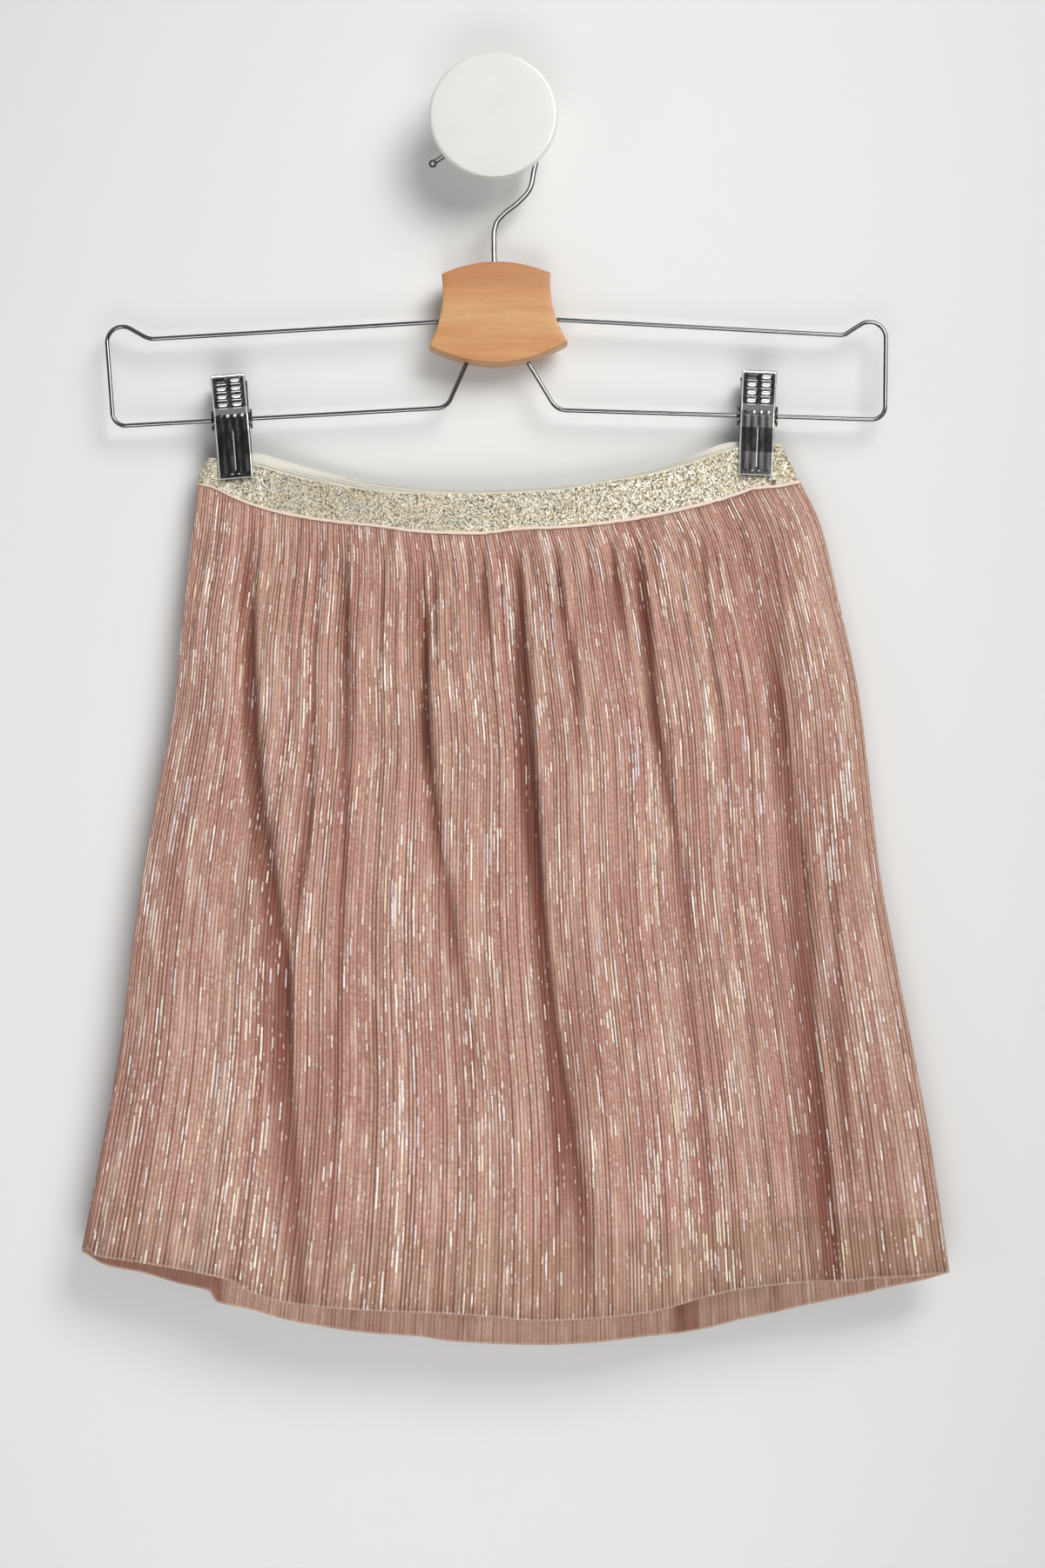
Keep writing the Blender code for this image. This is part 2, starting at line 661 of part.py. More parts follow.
def hook_route():
    """Middle of the hook's wire: up from the block, round the stem and out to its tip."""
    centre_z = STEM_RADIUS + GAP + HOOK_WIRE_RADIUS - HOOK_ARC_RADIUS
    foot = [(0.2, -63.7), (0.1, -55.1), (0.3, -48.3), (1.5, -44.3), (4.5, -40.7), (10.6, -35.7), (16.3, -29.1)]
    arc = []
    for degrees in range(-19, 157, 12):
        angle = math.radians(degrees)
        arc.append((HOOK_ARC_RADIUS * math.cos(angle), centre_z + HOOK_ARC_RADIUS * math.sin(angle)))
    tip = [(-19.5, -9.0), (-22.4, -13.0), (-26.5, -16.1)]
    return [Vector((x, HANGER_Y, z)) for x, z in foot + arc + tip]


def hook(material):
    """The hanger's hook, its wire ending in a small ball."""
    points = hook_route()
    radii = [HOOK_WIRE_RADIUS] * len(points)
    run = (points[-1] - points[-2]).normalized()
    neck = math.asin(HOOK_WIRE_RADIUS / HOOK_BALL_RADIUS)
    centre = points[-1] + run * HOOK_BALL_RADIUS * math.cos(neck)
    for i in range(1, 6):
        angle = neck + (math.radians(168) - neck) * i / 5
        points.append(centre - run * HOOK_BALL_RADIUS * math.cos(angle))
        radii.append(HOOK_BALL_RADIUS * math.sin(angle))
    return wire("hanger_hook", points, radii, 8, material)


def bowed(start, end, bow, steps):
    """Points from start up to end, bowed to the left of the way by a distance, without the end itself."""
    start = Vector((*start, 0.0))
    end = Vector((*end, 0.0))
    way = end - start
    left = Vector((-way.y, way.x, 0.0)).normalized()
    line = []
    for i in range(steps):
        s = i / steps
        line.append(start + way * s + left * bow * 4.0 * s * (1.0 - s))
    return line


def block(material):
    """The wood block: bowed top and bottom, sides drawn in above flared lower corners, and softened edges."""
    outline = []
    outline += bowed((-29.1, -102.8), (33.4, -100.8), -8.8, 10)
    outline += bowed((33.4, -100.8), (25.7, -69.2), 2.6, 6)
    outline += bowed((25.7, -69.2), (-23.5, -69.6), -5.4, 10)
    outline += bowed((-23.5, -69.6), (-29.1, -102.8), 2.6, 6)
    mesh = bmesh.new()
    front = [mesh.verts.new(Vector((p.x, HANGER_Y - BLOCK_THICKNESS / 2, p.y)) * MM) for p in outline]
    face = mesh.faces.new(front)
    swept = bmesh.ops.extrude_face_region(mesh, geom=[face])
    moved = [item for item in swept["geom"] if isinstance(item, bmesh.types.BMVert)]
    bmesh.ops.translate(mesh, verts=moved, vec=(0.0, BLOCK_THICKNESS * MM, 0.0))
    bmesh.ops.recalc_face_normals(mesh, faces=mesh.faces)
    rims = [edge for edge in mesh.edges if abs(edge.verts[0].co.y - edge.verts[1].co.y) < 1e-6]
    bmesh.ops.bevel(mesh, geom=rims, offset=BLOCK_EDGE * MM, segments=2, profile=0.5, affect="EDGES")
    return finished("hanger_block", mesh, material)


# Side view of a clip's plate, from its top to its teeth: height from the wire, and distance of the inner face
# from the mid-plane
PlatePoint = namedtuple("PlatePoint", "height offset")
PLATE_PROFILE = (
    PlatePoint(19.0, 8.5),
    PlatePoint(17.6, 7.9),
    PlatePoint(4.4, 4.95),
    PlatePoint(1.5, 3.4),
    PlatePoint(-6.0, 3.4),
    PlatePoint(-17.0, CLIP_TEETH_OFFSET + 0.1),
    PlatePoint(-27.0, CLIP_TEETH_OFFSET),
    PlatePoint(-28.2, CLIP_TEETH_OFFSET + 0.6),
)
RIDGE_HEIGHT = 0.5
RIDGE_ROWS = (16.1, 12.6, 9.1, 5.6)
RIDGE_HALF = 0.9


def plate_rows():
    """A clip plate's side view from its teeth up: height, and distance of the inner and the outer face."""
    heights = column(PLATE_PROFILE, "height")
    offsets = column(PLATE_PROFILE, "offset")
    levels = {height: 0.0 for height in heights}
    for row in RIDGE_ROWS:
        levels[row - RIDGE_HALF] = 0.0
        levels[row] = RIDGE_HEIGHT
        levels[row + RIDGE_HALF] = 0.0
    rows = []
    for height in sorted(levels):
        inner = float(np.interp(height, heights[::-1], offsets[::-1]))
        rows.append((height, inner, inner + CLIP_PLATE + levels[height]))
    return rows


def clip_frame(corners, x):
    """Where a clip sits on a loop's lower bar, and the bar's direction there."""
    start = Vector((corners[3][0], 0.0, corners[3][1]))
    end = Vector((corners[4][0], 0.0, corners[4][1]))
    along = (end - start).normalized()
    if along.x < 0.0:
        along.negate()
    place = start + (end - start) * ((x - start.x) / (end.x - start.x))
    return Vector((x, HANGER_Y, place.z)), along


def clip(name, corners, x, lean_degrees, material):
    """A clip: a front plate, a back plate and a barrel round the wire; its plates lean left of the bar's normal."""
    origin, along = clip_frame(corners, x)
    up = along.cross(Vector((0.0, 1.0, 0.0))).normalized()
    if up.z < 0.0:
        up.negate()
    lean = math.radians(lean_degrees)
    across = along * math.cos(lean) + up * math.sin(lean)
    upright = up * math.cos(lean) - along * math.sin(lean)
    out = Vector((0.0, 1.0, 0.0))
    for label, side in (("front", -1.0), ("back", 1.0)):
        mesh = bmesh.new()
        rings = []
        for height, inner, outer in plate_rows():
            middle = origin + upright * height
            edge = across * (CLIP_WIDTH / 2)
            corners_here = (
                middle - edge + out * (side * inner),
                middle - edge + out * (side * outer),
                middle + edge + out * (side * outer),
                middle + edge + out * (side * inner),
            )
            rings.append([mesh.verts.new(corner * MM) for corner in corners_here])
        for low, high in zip(rings, rings[1:]):
            for k in range(4):
                m = (k + 1) % 4
                mesh.faces.new((low[k], low[m], high[m], high[k]))
        mesh.faces.new(rings[0])
        mesh.faces.new(rings[-1][::-1])
        bmesh.ops.recalc_face_normals(mesh, faces=mesh.faces)
        finished(f"{name}_{label}_plate", mesh, material, sharp_degrees=30.0)
    barrel(f"{name}_barrel", origin, along, up, material)


def barrel(name, origin, along, up, material, steps=14):
    """A short tube round the wire, which the clip's plates turn on."""
    out = Vector((0.0, 1.0, 0.0))
    bore = LOOP_WIRE_RADIUS + GAP + 0.05
    corners = ((bore, -0.5), (BARREL_RADIUS, -0.5), (BARREL_RADIUS, 0.5), (bore, 0.5))
    mesh = bmesh.new()
    rings = []
    for radius, share in corners:
        ring = []
        for i in range(steps):
            angle = 2.0 * math.pi * i / steps
            spoke = up * math.cos(angle) + out * math.sin(angle)
            ring.append(mesh.verts.new((origin + along * (share * BARREL_LENGTH) + spoke * radius) * MM))
        rings.append(ring)
    for k in range(4):
        low, high = rings[k], rings[(k + 1) % 4]
        for i in range(steps):
            j = (i + 1) % steps
            mesh.faces.new((low[i], low[j], high[j], high[i]))
    bmesh.ops.recalc_face_normals(mesh, faces=mesh.faces)
    finished(name, mesh, material)


def clear_scene():
    """Remove what the file opens with."""
    for thing in list(bpy.data.objects):
        bpy.data.objects.remove(thing, do_unlink=True)


def main():
    """Build the skirt, then the hanger and the wall hook that hold it."""
    clear_scene()
    knit = plain_material("knit", KNIT_COLOUR, 0.6, 0.2)
    knit_back = plain_material("knit_back", KNIT_BACK_COLOUR, 0.65, 0.2)
    lining = plain_material("lining", LINING_COLOUR, 0.7)
    elastic = plain_material("elastic", BAND_COLOUR, 0.45, 0.4)
    chrome = plain_material("chrome", CHROME_COLOUR, 0.15, 1.0)
    clip_metal = plain_material("clip_metal", CLIP_COLOUR, 0.2, 1.0)
    wood = plain_material("wood", WOOD_COLOUR, 0.5)
    white = plain_material("white_gloss", WHITE_COLOUR, 0.15)
    front = panel_points(FRONT, FRONT_SHARES, FRONT_GATHERS, FRONT_FOLDS)
    back = panel_points(BACK, BACK_SHARES, BACK_GATHERS, BACK_FOLDS)
    cloth_wall("skirt_front", front, KNIT_THICKNESS, FRONT, knit)
    cloth_wall("skirt_back", back, KNIT_THICKNESS, BACK, knit_back)
    cloth_wall("lining_front", lining_points(FRONT), LINING_THICKNESS, FRONT, lining)
    cloth_wall("lining_back", lining_points(BACK), LINING_THICKNESS, BACK, lining)
    waistband(elastic)
    block(wood)
    hook(chrome)
    wire_loop("hanger_loop_left", LEFT_LOOP, chrome)
    wire_loop("hanger_loop_right", RIGHT_LOOP, chrome)
    clip("clip_left", LEFT_LOOP, LEFT_CLIP_X, LEFT_CLIP_LEAN, clip_metal)
    clip("clip_right", RIGHT_LOOP, RIGHT_CLIP_X, RIGHT_CLIP_LEAN, clip_metal)
    wall_hook(white)


main()
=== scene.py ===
"""Dressed model of a finely pleated foil-knit skirt, clipped to a wire hanger on a round wall hook.

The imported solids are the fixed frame. The cloth is rebuilt here on the solids' own form with its fine pleats,
folds, foil and sewing, and the hanger, the clips and the wall hook are rebuilt with their rounded detail.
Tables hold millimetres and shares of the length; meshes are in metres. X runs right, Y into the wall, Z up.
"""

from __future__ import annotations

import logging
import math
from dataclasses import dataclass
from enum import Enum
from typing import Any, Callable, Mapping, NamedTuple, Sequence, TypeVar

import bpy
import numpy as np
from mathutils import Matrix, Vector

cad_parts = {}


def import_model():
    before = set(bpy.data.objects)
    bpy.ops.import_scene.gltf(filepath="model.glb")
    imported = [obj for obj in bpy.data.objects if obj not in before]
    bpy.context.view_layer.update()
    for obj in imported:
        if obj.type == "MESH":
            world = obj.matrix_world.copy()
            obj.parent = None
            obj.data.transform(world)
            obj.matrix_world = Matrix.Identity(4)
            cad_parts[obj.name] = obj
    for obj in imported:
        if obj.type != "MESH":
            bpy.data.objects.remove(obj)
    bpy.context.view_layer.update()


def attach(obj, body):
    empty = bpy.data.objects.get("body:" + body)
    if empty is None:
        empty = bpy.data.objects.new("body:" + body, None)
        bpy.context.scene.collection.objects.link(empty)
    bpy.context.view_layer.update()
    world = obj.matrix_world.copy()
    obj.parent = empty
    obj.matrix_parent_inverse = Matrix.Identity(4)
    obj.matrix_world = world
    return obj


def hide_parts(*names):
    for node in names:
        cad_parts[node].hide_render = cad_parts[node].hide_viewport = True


LOG = logging.getLogger("skirt")
MM = 0.001
GAP = 0.3
BODY = "root"
HANGER_Y = -14.0

Array = np.ndarray
Colour = tuple[float, float, float]
Point = tuple[float, float, float]
Row = TypeVar("Row")
Material = bpy.types.Material
Thing = bpy.types.Object


class Side(Enum):
    """Which half of the skirt a piece belongs to, as the sign of its outward way along Y."""

    FRONT = -1.0
    BACK = 1.0


class Section(NamedTuple):
    """Outline of the skirt at a share of its length: side folds, their depth, and the bulge each way."""

    share: float
    left: float
    right: float
    middle: float
    front: float
    back: float

    @property
    def half(self) -> float:
        """Half of the outline's width."""
        return (self.right - self.left) / 2

    def place(self, across: Array) -> Array:
        """Place in millimetres, at -1 to 1 across the outline."""
        return (self.left + self.right) / 2 + self.half * across


class Edge(NamedTuple):
    """Heights of the waistband's two edges at a place across."""

    x: float
    top: float
    bottom: float


class At(NamedTuple):
    """A value at a place across."""

    x: float
    value: float


class Crease(NamedTuple):
    """A fold line: its place and its depth at nine shares, and how far its flanks reach left and right."""

    path: tuple[float, float, float, float, float, float, float, float, float]
    depth: tuple[float, float, float, float, float, float, float, float, float]
    left: float
    right: float


class Patch(NamedTuple):
    """A long soft patch of the cloth: its middle, its half width and half length, and its strength."""

    x: float
    z: float
    width: float
    length: float
    strength: float


def rows(kind: Callable[..., Row], *values: Sequence[Any]) -> tuple[Row, ...]:
    """A table whose rows are all of one kind."""
    return tuple(kind(*value) for value in values)


SECTIONS = rows(
    Section,
    (0, -133.8, 139, -14, 9, 8), (0.05, -135.2, 147.2, -14.6, 12.5, 8.6), (0.16, -139.4, 156, -16, 16, 9.6),
    (0.28, -142.4, 164.2, -17.6, 19, 11), (0.39, -148.8, 168.2, -19, 20.5, 12.2),
    (0.5, -155.2, 172.2, -20.2, 21.5, 13.2), (0.61, -160.3, 178.8, -21.2, 22.2, 14.2),
    (0.72, -164.1, 185.8, -22.2, 22.8, 15.2), (0.84, -170.6, 193.1, -23.2, 23.4, 16.2),
    (1, -180.6, 200.7, -24.2, 24, 17.4),
)
BAND_FRONT = rows(
    Edge,
    (-133.8, -153.4, -166), (-127.8, -154, -167.3), (-122.4, -154.6, -169.8), (-115.9, -155.4, -173),
    (-108.2, -156.3, -176), (-94.1, -160.6, -180), (-78.8, -164.5, -182.9), (-64, -167.5, -185),
    (-52.7, -169.2, -186.2), (-38.2, -170.4, -188.4), (-22.5, -170.6, -189.6), (-6.1, -170.7, -189.9),
    (10.4, -170.2, -188), (28, -169.2, -187.2), (47.6, -165.6, -185.4), (67.7, -162, -182.2),
    (88.9, -156, -177.2), (102, -151.1, -173.7), (110, -148.6, -171.1), (118, -148.1, -168.4),
    (129, -147.8, -167.4), (139, -147, -165.2),
)
BAND_BACK = rows(
    Edge,
    (-133.8, -153.4, -166), (-124, -152.4, -168.4), (-108, -151, -171.8), (-94.8, -154.3, -175.2),
    (-79.4, -158.2, -178.8), (-53.2, -163.6, -183.6), (-11.7, -166.8, -186.4), (28.9, -165.2, -184.6),
    (57.7, -161, -180.8), (77.8, -156.6, -176.4), (110.3, -145.8, -168.4), (124, -145.8, -166.8),
    (139, -147, -165.2),
)
BAND_OPENING = rows(
    At,
    (-133.8, 2), (-104, 1.95), (-86, 3.4), (-45, 7), (2, 8.3), (50, 7), (88, 3.4), (104, 1.95), (139, 2),
)
FRONT_HEM = rows(
    At,
    (-180.6, -508.6), (-176.6, -509), (-174.8, -511.1), (-158.8, -513.6), (-139.3, -516.7),
    (-122.5, -519.9), (-111, -523), (-107.1, -526), (-102.1, -527.9), (-89.2, -531.6), (-61.9, -534.4),
    (-41.6, -535.4), (-19.3, -536.3), (0, -537.7), (21, -539.3), (41, -538.6), (57.2, -537.2), (71.6, -535),
    (91.6, -529.3), (105.6, -526.2), (122, -524.1), (139, -522.7), (155.2, -522.2), (167.8, -521),
    (180.2, -520.6), (200.7, -518.6),
)
BACK_HEM = rows(
    At,
    (-180.6, -509.6), (-169.9, -515.6), (-154.7, -518.8), (-139.2, -523.4), (-127.6, -526),
    (-125.4, -526.9), (-122.6, -531.3), (-120.8, -532.2), (-109.5, -534.3), (-91.3, -539.5),
    (-73.6, -542.7), (-53.2, -545.5), (-32.4, -546.9), (-20, -548.7), (0.4, -550.1), (21.2, -550.6),
    (41.6, -549.8), (62.4, -547.5), (92.3, -543.7), (107.5, -539.9), (124.1, -536.2), (141, -532.5),
    (157.5, -529.1), (174.1, -525.3), (190.5, -521.8), (200.7, -518.6),
)
FRONT_FOLDS = rows(
    Crease,
    ((-131.5, -135, -138.5, -144, -149.5, -155, -161, -168, -175),
     (0, 0, 0.3, 0.6, 0.8, 1, 1.4, 1.8, 2.2), 1.6, 2.2),
    ((-110, -108.5, -107.3, -104, -96, -90.3, -89.3, -87, -84), (1.2, 6, 8, 8, 6, 5, 4.6, 3.8, 2.6), 5, 2.2),
    ((-79, -79.5, -80, -80.5, -86, -90, -90, -90, -90), (1.2, 2.8, 3.2, 3.6, 3.2, 1, 0, 0, 0), 2.4, 1.3),
    ((-69, -65.5, -65.5, -66, -66.5, -69, -70, -70, -70), (4.6, 7, 5, 3.8, 2.6, 1.8, 1.4, 0.8, 0), 2.8, 1.6),
    ((-33, -30.5, -29.5, -25, -18.5, -10.5, -3.5, 3, 9), (3.4, 8, 8.4, 5.6, 3.2, 2.2, 1.8, 1, 0), 3.8, 1.6),
    ((-28, -25.8, -24, -22, -20, -18, -16, -14, -12), (1, 3, 0.8, 0, 0, 0, 0, 0, 0), 1.5, 1.3),
    ((-14.5, -12.5, -10, -8, -6, -4, -2, 0, 2), (2.2, 0.8, 0, 0, 0, 0, 0, 0, 0), 2.4, 1.4),
    ((-8, -2.4, 0.5, 2, 3, 4, 5, 6, 7), (1.2, 2.8, 1.2, 0, 0, 0, 0, 0, 0), 3, 1.5),
    ((11, 12.8, 14.8, 18.6, 21.6, 26, 32.5, 39.5, 44), (1.6, 6.5, 8, 8.5, 7, 5.6, 4.8, 3.4, 1.8), 4.8, 1.9),
    ((25, 32.5, 39, 42, 45, 48, 51, 54, 57), (2.8, 4.4, 3, 0.8, 0, 0, 0, 0, 0), 3.2, 1.6),
    ((51, 57, 60, 62, 64, 66, 68, 70, 72), (1.8, 2.6, 1, 0, 0, 0, 0, 0, 0), 2.8, 1.5),
    ((62, 68.3, 71.5, 78.5, 84.5, 87, 90, 93, 95), (3.4, 6.4, 6, 4.6, 3.2, 2.4, 2, 2, 2.2), 3.4, 1.6),
    ((88, 95, 99, 104, 109, 113, 116, 119, 122), (1.4, 2.6, 1.6, 1.2, 1, 1, 1, 1, 1), 3.5, 1.8),
    ((122, 124.5, 127.5, 131, 137.5, 139.5, 141.5, 145.5, 149),
     (0.6, 2.2, 4.4, 3.6, 4, 4.6, 5.6, 6.6, 6), 6, 2),
    ((140, 146, 149, 150.5, 151.5, 152.3, 153.5, 155.8, 158), (0, 0, 0.4, 0.8, 2, 4, 4, 3, 1.4), 3, 1.4),
    ((-50, -51, -51, -50, -51, -53, -54, -55, -56), (1.4, 1, 0.6, 1, 1.8, 1.8, 1, 0.8, 0.8), 3, 2),
    ((-98, -98, -100, -108, -113, -119, -123, -127, -130), (1.2, 1, 0.6, 1, 1.4, 1.4, 1.6, 2, 2.4), 5, 2.2),
    ((40, 46, 50, 54, 57, 60, 62, 64, 66), (1, 0.8, 0.8, 1, 1.2, 1.4, 1.4, 1.6, 1.8), 5, 2.4),
    ((-2, 0, 0, -2, -4, -8, -12, -16, -20), (0, 0, 0.4, 0.8, 1.2, 1.4, 1.6, 1.8, 2), 5, 2.6),
)
BACK_FOLDS = rows(
    Crease,
    ((-122, -130, -137, -143, -149, -154, -159, -164, -168), (0, 1, 2, 2.6, 3, 3, 3.2, 3.4, 3.6), 4.5, 2.2),
    ((-106, -109, -112, -115, -118, -121, -123, -125, -127),
     (0, 3, 4.4, 4.6, 4.6, 4.4, 4.4, 4.6, 5), 5.5, 2.2),
    ((-84, -82, -80, -80, -83, -87, -91, -94, -97), (2, 4.2, 4.6, 4.6, 4, 3, 2, 1, 0.6), 5, 2),
    ((-52, -54, -56, -57, -59, -61, -62, -63, -64), (1, 4, 5.2, 5.6, 5.6, 5.4, 5, 4.4, 4), 5.5, 2.2),
    ((-24, -22, -20, -21, -24, -27, -30, -32, -34), (2, 3.4, 3.2, 2, 1, 0.6, 0.6, 0.8, 1), 4, 1.8),
    ((2, 4, 4, 2, -1, -5, -10, -13, -16), (0, 4, 5.6, 5.8, 5.8, 5.6, 5.2, 4.6, 4), 5.5, 2.2),
    ((30, 32, 33, 35, 36, 35, 34, 33, 32), (2, 4, 4, 3.4, 2.4, 1.4, 1, 1, 1), 4.5, 1.9),
    ((58, 60, 62, 64, 66, 70, 74, 77, 80), (1, 4, 5.4, 5.6, 5.6, 5.4, 5, 4.6, 4.4), 5.5, 2.2),
    ((96, 100, 104, 108, 111, 114, 117, 120, 122), (0, 3, 4.6, 5, 5.2, 5.2, 5.2, 5.2, 5.4), 5.5, 2.2),
    ((124, 133, 140, 145, 150, 154, 158, 161, 164), (0, 0.6, 1.6, 2.2, 2.6, 2.8, 3, 3, 3), 4, 2),
)
# Painted highlights where the foil catches the light, laid in as dense foil, read off the front
FRONT_GLINTS = rows(
    Patch,
    (26, -229, 2.5, 15, 1), (77, -207, 2.2, 12, 0.8), (97, -291, 2.5, 16, 0.9), (-48, -262, 3, 16, 0.8),
    (-10, -275, 3, 18, 0.7), (117, -310, 3, 16, 0.6), (72, -325, 3, 24, 0.9), (62, -300, 2.4, 14, 0.7),
    (106, -350, 3, 24, 0.7), (-3, -375, 3.5, 28, 0.6), (-42, -350, 3.5, 28, 0.7), (-52, -320, 2.5, 18, 0.5),
    (-113, -400, 3.5, 28, 0.7), (-105, -440, 4, 32, 0.8), (-117, -485, 4, 18, 1), (-105, -490, 4.5, 26, 1),
    (-108, -515, 4.5, 18, 0.9), (80, -440, 3.5, 42, 0.8), (86, -482, 4.5, 26, 1), (70, -500, 3.5, 26, 1),
    (100, -470, 4.5, 26, 0.7), (108, -440, 3.5, 22, 0.6), (-5, -430, 3.5, 32, 0.7), (-18, -480, 3, 26, 0.8),
    (8, -495, 3.5, 22, 0.7), (-40, -490, 3.5, 28, 0.6), (150, -340, 3.5, 26, 0.6),
    (162, -420, 3.5, 34, 0.7), (155, -300, 3.5, 30, 0.7), (186, -500, 3.5, 20, 0.8),
    (150, -505, 3, 20, 0.9), (-130, -240, 3, 20, 0.7), (-122, -300, 3.5, 28, 0.5),
    (-75, -215, 2.5, 16, 0.6), (-118, -215, 3, 18, 0.7), (-25, -240, 1.8, 18, 0.9), (5, -235, 2.5, 20, 0.6),
    (-80, -270, 2.5, 22, 0.7), (-92, -300, 3, 28, 0.6), (-150, -360, 3, 30, 0.6),
    (-155, -440, 3.5, 30, 0.6), (-166, -500, 3, 14, 0.9), (140, -230, 3, 26, 0.7), (45, -300, 3, 22, 0.5),
    (50, -400, 3, 30, 0.5),
)
# Shallow hollows beside the folds, read off the front: pushed in, and darkened with painted shade
FRONT_SHADED_HOLLOWS = rows(
    Patch,
    (-105, -352, 9, 44, 1), (-79, -462, 9, 56, 1), (-99, -400, 8, 60, 0.9), (-82, -500, 12, 26, 0.5),
    (-84, -345, 6, 50, 0.5), (-20, -385, 7, 50, 0.5), (13, -330, 6, 60, 0.4), (38, -425, 10, 50, 1),
    (28, -470, 8, 40, 0.8), (44, -470, 10, 44, 0.7), (24, -520, 14, 20, 0.5), (86, -370, 6, 50, 0.5),
    (122, -300, 8, 50, 0.6), (126, -380, 10, 60, 0.8), (124, -470, 10, 50, 0.6), (170, -480, 16, 70, 0.8),
    (160, -330, 10, 80, 0.6), (62, -215, 14, 18, 0.4), (-20, -215, 16, 18, 0.4), (110, -205, 20, 16, 0.3),
    (-60, -470, 8, 40, 0.3), (-150, -505, 22, 12, 0.3),
)
# Shallow hollows on the back: pushed in, and darkened with painted shade
BACK_SHADED_HOLLOWS = rows(
    Patch,
    (-116, -380, 12, 70, 0.7), (-62, -400, 11, 80, 0.7), (-8, -430, 11, 70, 0.7), (30, -330, 9, 60, 0.5),
    (64, -440, 11, 70, 0.8), (112, -390, 12, 80, 0.7), (-88, -260, 9, 40, 0.5), (86, -240, 9, 40, 0.5),
    (-146, -460, 8, 50, 0.5), (150, -470, 9, 50, 0.5),
)
# How far the pleats drift sideways by the hem, by where they leave the waistband
PLEAT_DRIFT = rows(
    At,
    (-133.8, 0), (-109, 5), (-68, 8), (-32, 12), (11, 11), (66, 3), (115, -6), (139, 0),
)
# Height of the lining's hem above the skirt's front hem
LINING_RISE = rows(
    At,
    (-180.6, 24), (-120, 26), (-60, 32), (0, 35), (60, 35), (100, 31), (150, 28), (200.7, 24),
)
# Painted shade along the back's hem, in its own folds: how light it is painted, 0 darkest
BACK_PAINTED_LIGHT = rows(
    At,
    (-180.6, 0), (-130, 0), (-121.5, 0), (-118.5, 0.34), (-96, 0.42), (-60, 0.26), (-20, 0.34), (10, 0.48),
    (40, 0.3), (78, 0.24), (84, 0), (90, 0), (93, 0.5), (120, 0.75), (165, 0.6), (184, 0.3), (200.7, 0.2),
)
STATIONS = tuple(eighth / 8 for eighth in range(9))


class Half(NamedTuple):
    """The tables of one side of the skirt, and its word in the names of pieces."""

    band: tuple[Edge, ...]
    hem: tuple[At, ...]
    folds: tuple[Crease, ...]
    shaded_hollows: tuple[Patch, ...]
    label: str


HALVES = {
    Side.FRONT: Half(BAND_FRONT, FRONT_HEM, FRONT_FOLDS, FRONT_SHADED_HOLLOWS, "front"),
    Side.BACK: Half(BAND_BACK, BACK_HEM, BACK_FOLDS, BACK_SHADED_HOLLOWS, "back"),
}


def cubic(places: Array, values: Array, slopes: Array, at: Array) -> Array:
    """Smooth curve through points that rise to the right, with a slope at each."""
    i = np.clip(np.searchsorted(places, at, side="right") - 1, 0, len(places) - 2)
    step = places[i + 1] - places[i]
    s = (at - places[i]) / step
    near = values[i] * (1 + 2 * s) * (1 - s) ** 2 + step * slopes[i] * s * (1 - s) ** 2
    return near + values[i + 1] * s * s * (3 - 2 * s) + step * slopes[i + 1] * s * s * (s - 1)


def through(xs: Sequence[float], ys: Sequence[float], at: Array | float) -> Array:
    """Smooth curve through a table that never overshoots it.

    Args:
        xs: The table's places, rising.
        ys: The values there.
        at: Where the curve is read.

    Returns:
        The value at each place.
    """
    places = np.asarray(xs, dtype=float)
    values = np.asarray(ys, dtype=float)
    rise = np.diff(values) / np.diff(places)
    product = rise[:-1] * rise[1:]
    total = np.where(product > 0.0, rise[:-1] + rise[1:], 1.0)
    inner = np.where(product > 0.0, 2.0 * product / total, 0.0)
    slopes = np.concatenate((rise[:1], inner, rise[-1:]))
    return cubic(places, values, slopes, np.clip(np.asarray(at, dtype=float), places[0], places[-1]))


def column(table: Sequence[NamedTuple], name: str) -> list[float]:
    """One named column of a table of rows."""
    return [getattr(row, name) for row in table]


def look_up(table: Sequence[NamedTuple], at: Array | float, name: str = "value") -> Array:
    """A table's named column, read at places across."""
    return through(column(table, "x"), column(table, name), at)


def arch(reach: Array) -> Array:
    """1 where reach is 0 and 0 where it is 1 or more, steep towards its end."""
    return np.sqrt(np.clip(1.0 - reach, 0.0, 1.0))


def ease(low: float, high: float, value: Array | float) -> Array:
    """0 below low, 1 above high and a smooth step between them."""
    s = np.clip((np.asarray(value, dtype=float) - low) / (high - low), 0.0, 1.0)
    return s * s * (3.0 - 2.0 * s)


def wander(seed: int, count: int, smallest: int, largest: int) -> Callable[[Array], Array]:
    """A smooth uneven curve over 0 to 1, the same each run.

    Args:
        seed: Start of the random draws.
        count: How many waves are added up.
        smallest: Fewest waves over the whole width.
        largest: Most waves over the whole width.

    Returns:
        A function of places from 0 to 1, about -1 to 1 high.
    """
    draw = np.random.default_rng(seed)
    waves = draw.uniform(smallest, largest, count)
    shifts = draw.uniform(0.0, 2.0 * math.pi, count)
    size = math.sqrt(count)
    return lambda at: sum(np.sin(2.0 * math.pi * w * at + s) for w, s in zip(waves, shifts)) / size


